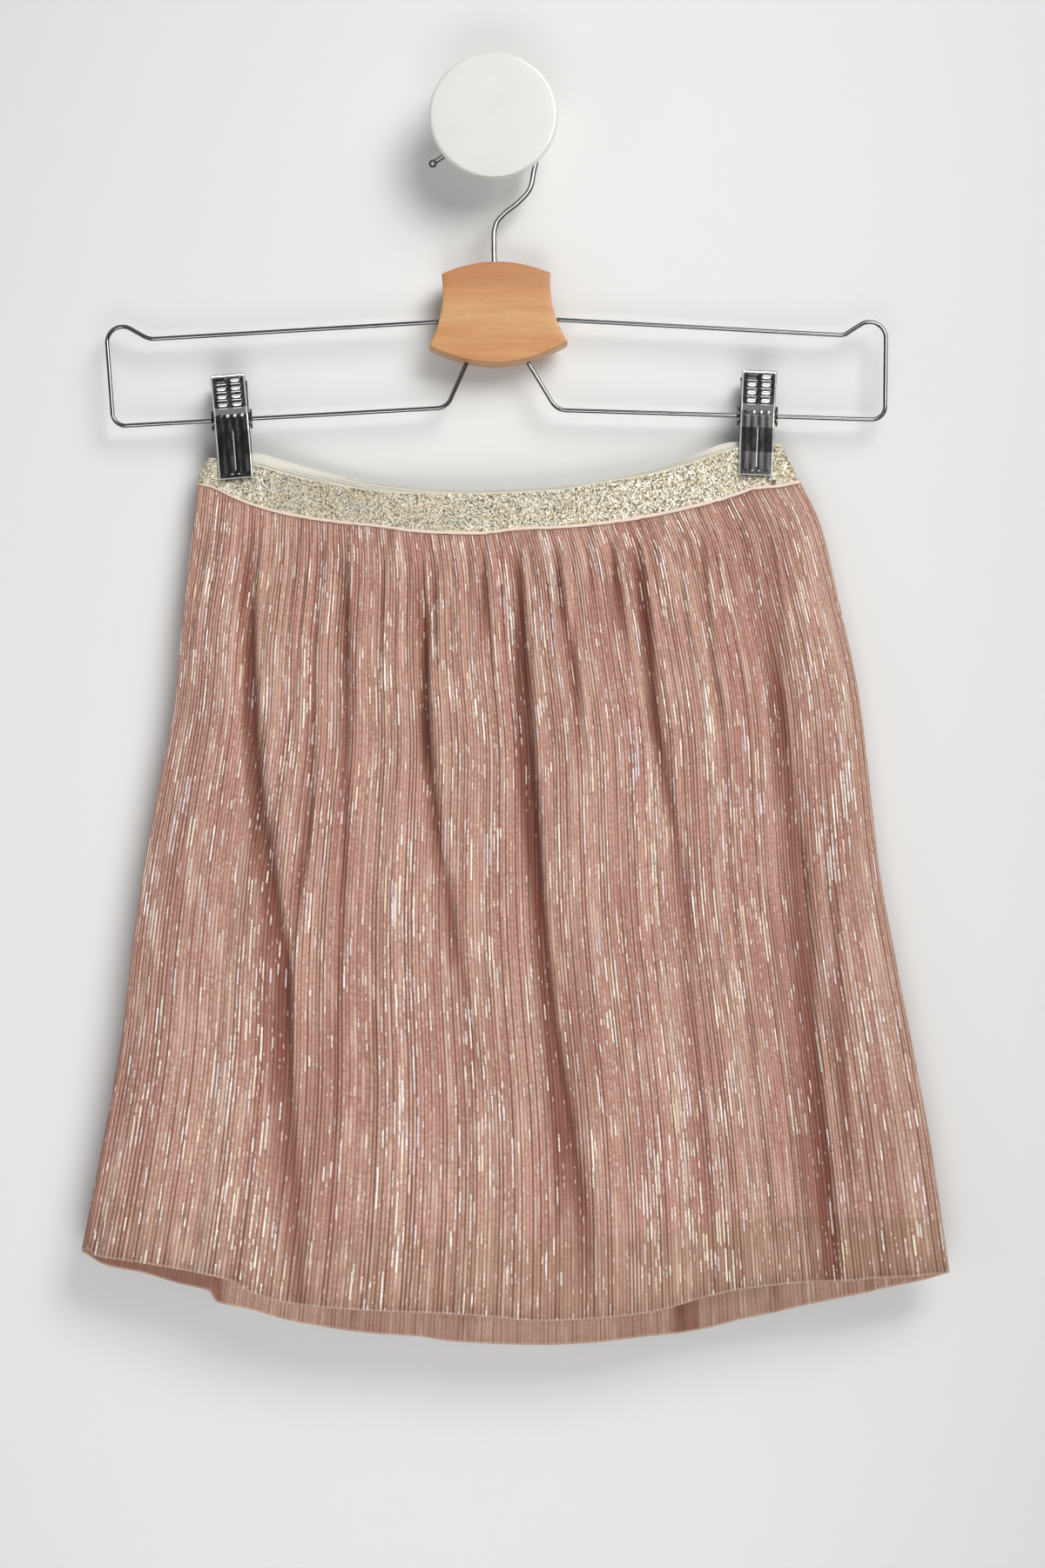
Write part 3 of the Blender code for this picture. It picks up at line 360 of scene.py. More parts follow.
@dataclass(frozen=True)
class SkirtForm:
    """The hung skirt's large shape, the same as the solids'."""

    gather_proud: float = 0.65
    tuck_under: float = 0.9
    puff: float = 3.0
    opens_by: float = 0.20
    fold_grows_by: float = 0.22
    front_room: float = 10.0
    back_room: float = 6.4
    band_end_radius: float = 3.2
    lining_gap: float = 1.35
    wall_limit: float = -2.0

    def section(self, share: float) -> Section:
        """The outline's row at a share of the length."""
        shares = column(SECTIONS, "share")
        found = [float(through(shares, column(SECTIONS, name), share)) for name in Section._fields[1:]]
        return Section(share, *found)

    def band_offset(self, across: Array) -> Array:
        """Distance of the waistband's outer face from the mid-plane, at -1 to 1 across."""
        top = SECTIONS[0]
        beyond = np.abs(across) * top.half - (top.half - self.band_end_radius)
        past = np.clip(beyond / self.band_end_radius, 0.0, 1.0)
        return look_up(BAND_OPENING, top.place(across)) * arch(past**2)

    def base(self, side: Side, share: float, across: Array) -> Array:
        """Distance of a panel's outer face from the mid-plane before folds and pleats.

        Args:
            side: Front or back.
            share: Share of the length, 0 at the waistband.
            across: Places from -1 to 1 across.

        Returns:
            The distance in millimetres at each place.
        """
        row = self.section(share)
        bulge = row.front if side is Side.FRONT else row.back
        opened = ease(0.0, self.opens_by, share)
        room = arch(across**8)
        waist = self.band_offset(across) + self.gather_proud * room
        full = (1.0 - opened) * waist + opened * bulge * arch(np.abs(across) ** 3)
        return full - self.tuck_under * (1.0 - ease(0.0, 0.025, share)) * room

    def puffed(self, share: float, across: Array) -> Array:
        """How far the gathered cloth swells out below the waistband, before its folds are laid in."""
        swell = ease(0.0, 0.055, share) * (1.0 - ease(0.12, 0.42, share))
        return self.puff * swell * arch(np.abs(across) ** 5)

    def evenly(self, offset_at: Callable[[Array], Array], half: float, count: int) -> Array:
        """Places across that part a section's outline into equal lengths.

        Args:
            offset_at: The outline's distance from the mid-plane at places across.
            half: Half of the section's width.
            count: How many equal lengths there are.

        Returns:
            count + 1 places from -1 to 1.
        """
        across = np.sin(np.linspace(-0.5, 0.5, 1601) * math.pi)
        lengths = np.hypot(np.diff(across) * half, np.diff(offset_at(across)))
        travelled = np.concatenate(([0.0], np.cumsum(lengths)))
        return np.interp(np.linspace(0.0, travelled[-1], count + 1), travelled, across)

    def inward(self, folds: Sequence[Crease], share: float, x: Array) -> Array:
        """How far folds push a panel in at places x.

        Args:
            folds: The panel's folds.
            share: Share of the length.
            x: Places across.

        Returns:
            Valleys as positive depths, with a gentle flank on the left, a steep one on the right and a
            rounded shoulder that stands out beyond it.
        """
        pushed = np.zeros_like(x)
        for fold in folds:
            depth = through(STATIONS, fold.depth, share)
            beside = x - through(STATIONS, fold.path, share)
            left = fold.left * (1.0 + 0.6 * ease(0.45, 0.95, share))
            right = fold.right * (1.0 + 0.5 * ease(0.6, 0.95, share))
            reach = np.where(beside < 0.0, beside / left, beside / right)
            ridge = np.exp(-(((beside - 2.2 * right - 1.2) / (1.5 * right + 0.8)) ** 2))
            far = np.exp(-(((beside + 2.1 * left) / (1.1 * left)) ** 2))
            pushed += depth * (np.exp(-(reach**2)) - 0.20 * ridge - 0.14 * far)
        return pushed

    def room(self, side: Side, share: float) -> float:
        """Room for folds between a panel and its lining."""
        most = self.front_room if side is Side.FRONT else self.back_room
        return most * ease(0.0, self.fold_grows_by + 0.06, share)

    def lining(self, side: Side, share: float, across: Array) -> Array:
        """Distance of the lining's outer face from the mid-plane."""
        return np.maximum(self.base(side, share, across) - self.lining_gap - self.room(side, share), 1.3)

    def height(self, side: Side, share: float, across: Array) -> Array:
        """Height of a panel's point, between the waistband's lower edge and the hem."""
        tables = HALVES[side]
        top = look_up(tables.band, SECTIONS[0].place(across), "bottom") - GAP
        bottom = look_up(tables.hem, SECTIONS[-1].place(across))
        return top + (bottom - top) * share


def tone(red: float, green: float, blue: float) -> Colour:
    """A colour given as 0 to 255 on a screen, as light."""
    parts = (part / 255.0 for part in (red, green, blue))
    return tuple(p / 12.92 if p <= 0.04045 else ((p + 0.055) / 1.055) ** 2.4 for p in parts)


Value = Any


def arithmetic(operation: str, swapped: bool = False) -> Callable[[Signal, Value], Signal]:
    """An operator of a signal that makes a Math node, with the other value first where it is swapped."""

    def operator(self: Signal, other: Value) -> Signal:
        """The Math node's result."""
        return self.sheet.math(operation, *((other, self) if swapped else (self, other)))

    return operator


class Signal:
    """One output of a node, which arithmetic turns into Math nodes."""

    def __init__(self, sheet: Shader, socket: bpy.types.NodeSocket) -> None:
        """Keep the socket and the material that it belongs to."""
        self.sheet = sheet
        self.socket = socket

    __add__ = arithmetic("ADD")
    __radd__ = arithmetic("ADD", swapped=True)
    __sub__ = arithmetic("SUBTRACT")
    __rsub__ = arithmetic("SUBTRACT", swapped=True)
    __mul__ = arithmetic("MULTIPLY")
    __rmul__ = arithmetic("MULTIPLY", swapped=True)
    __truediv__ = arithmetic("DIVIDE")
    __rtruediv__ = arithmetic("DIVIDE", swapped=True)


def set_stops(ramp: bpy.types.Node, stops: Sequence[tuple[float, Colour]]) -> None:
    """Set a colour ramp's stops."""
    elements = ramp.color_ramp.elements
    while len(elements) < len(stops):
        elements.new(0.5)
    for element, (place, colour) in zip(elements, stops):
        element.position = place
        element.color = (*colour, 1.0)


class Shader:
    """One material and the nodes that are laid out in it."""

    def __init__(self, name: str, roughness: float, **constants: float) -> None:
        """Start a material on a Principled shader.

        Args:
            name: The material's name.
            roughness: Roughness all over, where nothing is linked to it.
            **constants: Other sockets' values, with underscores for the spaces in their names.
        """
        self.material = bpy.data.materials.new(name)
        self.material.use_nodes = True
        self.tree = self.material.node_tree
        self.surface = self.tree.nodes["Principled BSDF"]
        self.surface.inputs["Roughness"].default_value = roughness
        for key, value in constants.items():
            self.surface.inputs[key.replace("_", " ").title().replace("Ior", "IOR")].default_value = value

    def node(
        self,
        kind: str,
        settings: Mapping[str, Value] | None = None,
        sockets: Mapping[str | int, Value] | None = None,
        out: str | int = 0,
    ) -> Signal:
        """Any node.

        Args:
            kind: The node's type.
            settings: Its own settings, and under "stops" a ramp's colours.
            sockets: Values or signals for its inputs, by name or number.
            out: The output that is wanted.

        Returns:
            That output.
        """
        made = self.tree.nodes.new(kind)
        for key, value in (settings or {}).items():
            if key == "stops":
                set_stops(made, value)
            else:
                setattr(made, key, value)
        for key, value in (sockets or {}).items():
            self.feed(made.inputs[key], value)
        return Signal(self, made.outputs[out])

    def feed(self, socket: bpy.types.NodeSocket, value: Value) -> None:
        """Link a signal to a socket, or set a number or a colour on it."""
        if isinstance(value, Signal):
            self.tree.links.new(value.socket, socket)
        elif isinstance(value, tuple) and socket.type == "RGBA":
            socket.default_value = (*value, 1.0)
        else:
            socket.default_value = value

    def to(self, name: str, value: Value) -> None:
        """Feed one of the surface shader's sockets."""
        self.feed(self.surface.inputs[name], value)

    def mix(self, factor: Value, first: Value, second: Value) -> Signal:
        """Colours mixed by a factor."""
        settings = {"data_type": "RGBA", "blend_type": "MIX", "clamp_factor": True}
        return self.node("ShaderNodeMix", settings, {0: factor, 6: first, 7: second}, 2)

    def over(self, body: Value, *coats: tuple[Value, Value]) -> Signal:
        """Colours laid over a body one after the other, each as (how much of it covers, the colour)."""
        for cover, colour in coats:
            body = self.mix(cover, body, colour)
        return body

    def vector(self, x: Value = 0.0, y: Value = 0.0, z: Value = 0.0) -> Signal:
        """Three numbers as a vector."""
        return self.node("ShaderNodeCombineXYZ", None, {0: x, 1: y, 2: z})

    def math(self, operation: str, *values: Value) -> Signal:
        """A Math node."""
        return self.node("ShaderNodeMath", {"operation": operation}, dict(enumerate(values)))

    def floor(self, value: Signal) -> Signal:
        """A number rounded down."""
        return self.math("FLOOR", value)

    def size_of(self, value: Signal) -> Signal:
        """A number without its sign."""
        return self.math("ABSOLUTE", value)

    def waves(self, value: Signal, pitch: float) -> Signal:
        """A sine wave that comes again after each pitch."""
        return self.math("SINE", value * (2.0 * math.pi / pitch))

    def between(self, value: Value, low: float, high: float) -> Signal:
        """0 below low, 1 above high and a smooth step between; low may be the larger."""
        settings = {"interpolation_type": "SMOOTHSTEP"}
        return self.node("ShaderNodeMapRange", settings, {"Value": value, "From Min": low, "From Max": high})

    def noise(self, x: Value, y: Value, z: Value, detail: float = 2.0, rough: float = 0.5) -> Signal:
        """Smooth noise from 0 to 1 at a place."""
        sockets = {"Vector": self.vector(x, y, z), "Scale": 1.0, "Detail": detail, "Roughness": rough}
        return self.node("ShaderNodeTexNoise", None, sockets)

    def chance(self, x: Value, y: Value, z: Value = 0.0) -> Signal:
        """A random number from 0 to 1 for each place."""
        return self.node("ShaderNodeTexWhiteNoise", None, {"Vector": self.vector(x, y, z)})

    def parts(self, whole: Signal) -> tuple[Signal, Signal, Signal]:
        """The three numbers of a vector."""
        apart = self.node("ShaderNodeSeparateXYZ", None, {0: whole})
        return tuple(Signal(self, output) for output in apart.socket.node.outputs)

    def layer(self, name: str) -> tuple[Signal, Signal]:
        """The two numbers of a UV layer."""
        return self.parts(self.node("ShaderNodeUVMap", {"uv_map": name}))[:2]

    def facing(self) -> tuple[Signal, Signal, Signal]:
        """The way a point's surface faces, as its three parts."""
        return self.parts(self.node("ShaderNodeTexCoord", None, None, "Normal"))

    def object_place(self) -> tuple[Signal, Signal, Signal]:
        """Where a point is, in millimetres."""
        place = self.node("ShaderNodeTexCoord", None, None, "Object")
        return tuple(part * 1000.0 for part in self.parts(place))

    def bump(self, height: Signal, distance: float, strength: float = 1.0) -> None:
        """Feed the surface's normal with a relief.

        Args:
            height: The relief, 0 to 1.
            distance: How high 1 is, in millimetres.
            strength: How much of it shows.
        """
        sockets = {"Height": height, "Distance": distance * MM, "Strength": strength}
        self.to("Normal", self.node("ShaderNodeBump", None, sockets))


class Spot(NamedTuple):
    """A point of the knit: ribs across, the rib's number, millimetres down, and the stitches' wave."""

    ribs: Signal
    index: Signal
    down: Signal
    thread: Signal


class Dash(NamedTuple):
    """A kind of foil dash: its cell's length, half width in ribs, the least draw that makes one, its seed."""

    length: float
    width: float
    limit: float
    seed: float


@dataclass(frozen=True)
class FoilKnit:
    """Ribbed knit with foil dashes, with painted shade in its grooves and folds and a painted foil glow."""

    ridge: Colour = tone(207, 161, 144)
    rosy: Colour = tone(195, 143, 129)
    sandy: Colour = tone(200, 166, 142)
    # groove: painted shade in the rib grooves, and the tone of darker ribs and streaks
    groove: Colour = tone(113, 68, 54)
    # deep: painted shade in the fold valleys
    deep: Colour = tone(116, 54, 35)
    pale: Colour = tone(236, 206, 188)
    unlined: Colour = tone(168, 136, 108)
    stitch_shade: Colour = tone(96, 60, 52)
    hem_edge: Colour = tone(232, 202, 182)
    stitch: float = 0.78
    painted_glow: float = 0.12
    foil: bool = True
    long_dash: Dash = Dash(24.0, 0.23, 0.925, 11.0)
    mid_dash: Dash = Dash(10.5, 0.19, 0.855, 31.0)
    speck: Dash = Dash(3.0, 0.16, 0.87, 51.0)

    def material(self, name: str) -> Material:
        """The knit's material.

        Args:
            name: The material's name.

        Returns:
            A material that reads the UV layers "rib" (ribs across, millimetres down), "form" (fold height
            0 to 1, painted dark as shade where low, and millimetres above the lining's hem) and "foil"
            (how dense the foil lies, with painted highlights laid in as dense foil, and millimetres above
            the hem).
        """
        shade = Shader(name, 0.6, sheen_weight=0.1, sheen_roughness=0.45)
        between = shade.between
        ribs, down = shade.layer("rib")
        crest_and_painted_shade, above_lining = shade.layer("form")
        dense, above_hem = shade.layer("foil")
        x, _, z = shade.object_place()
        index = shade.floor(ribs + 0.5)
        from_peak = shade.size_of(ribs - index) * 2.0
        own = shade.chance(index, 3.0, 1.0)
        other = shade.chance(index, 9.0, 6.0)
        patch = shade.noise(x / 24.0, 0.0, z / 90.0, 3.0, 0.6)
        streak = shade.noise(index * 0.43, down / 34.0, 4.0, 2.0, 0.6)
        stitch = shade.noise(index * 0.9, down / 1.7, 21.0, 1.0)
        valley = shade.floor(ribs)
        run = shade.noise(valley * 0.61, down / 46.0, 8.0, 2.0, 0.6)
        drawn = shade.chance(valley, 5.0, 2.0) + (run - 0.5) * 1.3 + between(down, 55.0, 8.0) * 0.16
        darkness = between(drawn, 0.22, 0.98)
        groove = between(from_peak, 0.70 - darkness * 0.46, 0.98)
        lined = between(above_lining + (patch - 0.5) * 2.0, -0.8, 0.8)
        open_hem = 0.34 + between(x, -70.0, -10.0) * 0.10 + between(x, 84.0, 96.0) * 0.16
        thread = shade.waves(down + own * (6.0 * self.stitch / (2.0 * math.pi)), self.stitch)
        body = shade.over(
            self.rosy,
            (between(patch, 0.36, 0.58), self.ridge),
            (between(own, 0.45, 0.95) * 0.6, self.sandy),
            (between(other, 0.42, 0.05) * 0.28, self.groove),
            (between(stitch, 0.50, 0.34) * 0.20, self.groove),
            (between(stitch, 0.52, 0.68) * 0.20, self.pale),
            ((1.0 - lined) * open_hem, self.unlined),
            # Painted shade in the rib grooves, darker on some ribs and near the waistband
            (groove * (0.50 + darkness * 0.50), self.groove),
            (between(streak, 0.36, 0.22) * 0.28, self.groove),
            (between(streak + own * 0.18, 0.62, 0.76) * (1.0 - groove) * 0.50, self.pale),
            # Painted shade in the fold valleys, the hollows beside them and the back's hem folds
            (between(crest_and_painted_shade, 0.46, -0.04) * 0.78, self.deep),
            (0.05 + thread * 0.05, self.stitch_shade),
        )
        relief = (1.0 - groove) * 0.8 + thread * 0.10 + own * 0.10
        if self.foil:
            # Foil is laid denser on the glint patches and the fold ridges: painted highlights
            likely = dense * 0.48 + (crest_and_painted_shade - 0.5) * 0.16 + 0.004
            likely = likely - between(z, -380.0, -500.0) * 0.04 - between(x, 100.0, 150.0) * 0.02
            likely = likely + (shade.noise(x / 13.0, 7.0, z / 55.0, 3.0, 0.6) - 0.5) * 0.50
            cover, sheen = self._foil(shade, Spot(ribs, index, down, thread), likely)
            body = shade.mix(cover, body, sheen)
            shade.to("Metallic", cover * 0.12)
            shade.to("Roughness", 0.62 - cover * 0.36)
            # Painted glow: the foil emits its own colour, though it is no lamp
            shade.to("Emission Color", shade.mix(cover, (0.0, 0.0, 0.0), sheen))
            shade.surface.inputs["Emission Strength"].default_value = self.painted_glow
            facet = down / 6.5 + own * 9.0
            start = shade.floor(facet)
            tilt = shade.chance(index, start, 77.0) * 1.3 - 0.35
            relief = relief + (facet - start) * tilt * 16.0 * cover
        shade.to("Base Color", shade.mix(between(above_hem, 1.0, 0.6) * 0.45, body, self.hem_edge))
        shade.bump(relief, 0.15, 0.8)
        return shade.material

    def _foil(self, shade: Shader, spot: Spot, likely: Signal) -> tuple[Signal, Signal]:
        """Where foil lies on the ribs, and its colour.

        Args:
            shade: The knit's nodes.
            spot: The point.
            likely: What is added to a dash's random number.

        Returns:
            The foil's cover, 0 to 1, and its colour.
        """
        bead = shade.between(shade.noise(spot.index * 0.71, spot.down / 1.15, 14.0, 1.0), 0.36, 0.54)
        long_dash = self._dashes(shade, spot, likely, self.long_dash) * (0.72 + bead * 0.28)
        mid_dash = self._dashes(shade, spot, likely * 0.8, self.mid_dash) * (0.48 + bead * 0.52)
        speck = self._dashes(shade, spot, likely * 0.4, self.speck) * 0.48
        cover = shade.math("MAXIMUM", shade.math("MAXIMUM", long_dash, mid_dash), speck)
        stops = (
            (0.0, tone(252, 234, 204)),
            (0.35, tone(255, 248, 232)),
            (0.70, tone(255, 252, 246)),
            (0.90, tone(238, 228, 240)),
            (1.0, tone(252, 224, 204)),
        )
        tint = shade.chance(spot.index, shade.floor(spot.down / 27.0), 5.0)
        colour = shade.node("ShaderNodeValToRGB", {"stops": stops}, {0: tint})
        return cover * (0.92 + spot.thread * 0.08), colour

    @staticmethod
    def _dashes(shade: Shader, spot: Spot, likely: Signal, dash: Dash) -> Signal:
        """Straight dashes of one kind.

        Args:
            shade: The knit's nodes.
            spot: The point.
            likely: What is added to a dash's random number.
            dash: The kind.

        Returns:
            1 on a dash and 0 off it.
        """
        run = spot.down / dash.length + shade.chance(spot.index, dash.seed, 0.0) * 9.0
        cell = shade.floor(run)
        drawn, share, shift = (shade.chance(spot.index, cell, dash.seed + n) for n in (1.0, 2.0, 3.0))
        there = shade.between(drawn + likely, dash.limit - 0.004, dash.limit + 0.004)
        within = shade.between(run - cell - 0.25 - share * 0.72, 0.02, -0.02)
        aside = spot.ribs - spot.index - (shift - 0.5) * 0.42
        return there * within * shade.between(shade.size_of(aside), dash.width * 1.25, dash.width * 0.7)


@dataclass(frozen=True)
class LurexElastic:
    """Metallic elastic between two pale piped edges."""

    gold: Colour = tone(203, 188, 151)
    straw: Colour = tone(198, 190, 169)
    cream: Colour = tone(244, 240, 226)
    shadow: Colour = tone(100, 92, 76)
    lower_cord: Colour = tone(244, 222, 206)
    upper_cord: Colour = tone(230, 223, 204)
    course: float = 0.64
    stitch: float = 0.56

    def material(self, name: str) -> Material:
        """The outer face, by the UV layer "band" in millimetres along and down, with 19 mm as its width."""
        shade = Shader(name, 0.45)
        along, down = shade.layer("band")
        row = shade.floor(down / self.course)
        cell = shade.floor(along / self.stitch + shade.chance(row, 1.0) * 0.6)
        glint = shade.chance(cell, row, 3.0)
        tint = shade.chance(cell, row, 8.0)
        warm = shade.noise(along / 16.0, down / 5.0, 2.0)
        line = shade.size_of(down / self.course - row - 0.5) * 2.0
        gap = shade.between(line, 0.72, 1.0) * (0.15 + shade.chance(row, 4.0, 4.0) * 0.45)
        upper = shade.between(down, 0.85, 0.70)
        lower = shade.between(down, 17.45, 17.65)
        weave = shade.over(
            self.straw,
            (shade.between(warm + tint * 0.2, 0.46, 0.72), self.gold),
            (shade.between(glint, 0.36, 0.08), self.shadow),
            (shade.between(glint, 0.62, 0.86), self.cream),
            (gap, self.shadow),
            (upper, self.upper_cord),
            (lower, self.lower_cord),
        )
        shade.to("Base Color", weave)
        plain = (1.0 - upper) * (1.0 - lower)
        shade.to("Metallic", shade.between(glint, 0.55, 0.75) * plain * 0.40)
        shade.to("Roughness", 0.58 - shade.between(glint, 0.7, 0.9) * plain * 0.25)
        shade.bump(glint * 0.7 + shade.between(line, 1.0, 0.4) * 0.3, 0.18, 0.8)
        return shade.material

    def lining_face(self, name: str) -> Material:
        """The face towards the body: plain pale ribs along the band."""
        shade = Shader(name, 0.75)
        along, down = shade.layer("band")
        line = shade.waves(down, 1.25)
        grain = shade.noise(along / 0.9, down / 0.5, 6.0, 2.0, 0.6)
        pale = shade.mix(shade.between(grain, 0.3, 0.7), tone(222, 219, 206), tone(238, 235, 226))
        shade.to("Base Color", shade.mix(shade.between(line, -0.2, -1.0) * 0.4, pale, tone(184, 180, 164)))
        shade.bump(line * 0.5 + grain * 0.5, 0.2, 0.8)
        return shade.material


@dataclass(frozen=True)
class WovenLining:
    """Plain matt lining cloth."""

    pale: Colour = (0.56, 0.31, 0.26)
    deep: Colour = (0.42, 0.21, 0.17)
    thread: float = 0.42

    def material(self, name: str) -> Material:
        """The lining's material, by the UV layer "rib" in millimetres."""
        shade = Shader(name, 0.7, sheen_weight=0.08)
        across, down = shade.layer("rib")
        slub = shade.noise(across / 14.0, down / 0.7, 0.0, 2.0, 0.6)
        weave = shade.waves(across, self.thread) * shade.waves(down, self.thread) * 0.5 + 0.5
        body = shade.mix(shade.between(slub, 0.35, 0.65), self.pale, self.deep)
        shade.to("Base Color", shade.mix(weave * 0.25, body, self.deep))
        shade.bump(weave, 0.06, 0.7)
        return shade.material


@dataclass(frozen=True)
class VarnishedWood:
    """Pale orange-tan wood with a fine level grain under satin varnish."""

    pale: Colour = tone(211, 160, 107)
    mid: Colour = tone(199, 140, 87)
    dark: Colour = tone(160, 98, 52)
    pink: Colour = tone(208, 150, 112)
    top_edge_colour: Colour = tone(172, 106, 54)

    def material(self, name: str) -> Material:
        """The wood's material, with its grain along X."""
        shade = Shader(name, 0.42, coat_weight=0.25, coat_roughness=0.22)
        x, y, z = shade.object_place()
        wave = shade.noise(x / 55.0, y / 14.0, z / 11.0)
        band = shade.noise(x / 80.0, y / 9.0, z / 5.2 + wave * 2.2, 3.0, 0.6)
        fine = shade.noise(x / 14.0, y / 1.2, z / 0.55 + wave * 6.0, 4.0, 0.7)
        fleck = shade.noise(x / 5.5, y / 0.8, z / 0.33, 1.0)
        mottle = shade.noise(x / 7.0, y / 7.0, z / 5.0, 4.0, 0.7)
        body = shade.over(
            self.pale,
            (shade.between(band, 0.34, 0.66), self.mid),
            (shade.between(fine, 0.52, 0.74) * 0.42, self.dark),
            (shade.between(fleck, 0.66, 0.76) * 0.45, self.dark),
            (shade.between(mottle, 0.50, 0.72) * 0.30, self.pink),
            # Darker towards the top edge
            (shade.between(z + wave * 6.0, -76.0, -72.0) * 0.58, self.top_edge_colour),
        )
        shade.to("Base Color", body)
        shade.to("Roughness", 0.36 + fine * 0.16)
        shade.bump(fine, 0.05, 0.6)
        return shade.material


@dataclass(frozen=True)
class Plated:
    """Bright or dark plated metal with faint handling marks."""

    colour: Colour
    roughness: float
    marked: Colour

    def material(self, name: str) -> Material:
        """The metal's material."""
        shade = Shader(name, self.roughness, metallic=1.0)
        x, y, z = shade.object_place()
        haze = shade.noise(x / 6.0, y / 6.0, z / 6.0, 3.0, 0.6)
        shade.to("Base Color", shade.mix(shade.between(haze, 0.45, 0.75) * 0.5, self.colour, self.marked))
        shade.to("Roughness", self.roughness + shade.between(haze, 0.4, 0.8) * 0.10)
        return shade.material

    def wire(self, name: str, painted_highlight_share: float) -> Material:
        """The wires' plating: a painted highlight, pale along the front by a share, dark on the flanks."""
        shade = Shader(name, self.roughness, metallic=1.0)
        x, y, z = shade.object_place()
        _, front, rise = shade.facing()
        haze = shade.noise(x / 9.0, y / 6.0, z / 9.0, 2.0, 0.6)
        # Painted highlight: a pale, less metallic line where the wire faces the front
        pale = shade.between(-1.0 * front - rise * 0.15 + (haze - 0.5) * 0.2, 0.84, 0.99) * painted_highlight_share
        body = shade.mix(shade.between(haze, 0.45, 0.75) * 0.5, self.colour, self.marked)
        shade.to("Base Color", shade.mix(pale, body, (0.86, 0.86, 0.85)))
        shade.to("Metallic", 1.0 - pale * 0.65)
        shade.to("Roughness", self.roughness + pale * 0.15)
        return shade.material

    def ridged(self, name: str) -> Material:
        """The clip's face: dark in the flat, with painted highlights on its pressed parts and edges."""
        shade = Shader(name, self.roughness, metallic=1.0)
        painted_shine, _ = shade.layer("clip_highlight")
        x, y, z = shade.object_place()
        haze = shade.noise(x / 3.0, y / 3.0, z / 9.0, 4.0, 0.65)
        dark = shade.mix(shade.between(haze, 0.45, 0.75) * 0.55, self.colour, self.marked)
        # Painted highlight: the highlighted parts pale and less metallic
        pressed = shade.between(painted_shine, 0.35, 0.75)
        shade.to("Base Color", shade.mix(pressed, dark, (0.86, 0.855, 0.83)))
        shade.to("Metallic", 1.0 - pressed * 0.5)
        shade.to("Roughness", self.roughness + shade.between(haze, 0.4, 0.8) * 0.12)
        return shade.material


@dataclass(frozen=True)
class GlossWhite:
    """Glossy white lacquer, slightly uneven."""

    colour: Colour = (0.79, 0.80, 0.765)

    def material(self, name: str) -> Material:
        """The lacquer's material."""
        shade = Shader(name, 0.30, coat_weight=1.0, coat_roughness=0.0)
        x, y, z = shade.object_place()
        cloud = shade.noise(x / 22.0, y / 22.0, z / 22.0)
        peel = shade.noise(x / 1.6, y / 1.6, z / 1.6, 1.0)
        shade.to("Base Color", shade.mix(shade.between(cloud, 0.3, 0.7), self.colour, (0.76, 0.77, 0.735)))
        shade.to("Roughness", 0.28 + cloud * 0.06)
        shade.bump(peel, 0.01, 0.3)
        return shade.material


def into_scene(name: str, data: bpy.types.ID) -> Thing:
    """A new object with its data, in the scene."""
    thing = bpy.data.objects.new(name, data)
    bpy.context.scene.collection.objects.link(thing)
    return thing


def hand_over(piece: Thing, node: str) -> Thing:
    """Hide the CAD node that a finished piece replaces, and attach the piece to its body."""
    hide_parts(node)
    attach(piece, BODY)
    LOG.info("%s: %d points", piece.name, len(piece.data.vertices))
    return piece


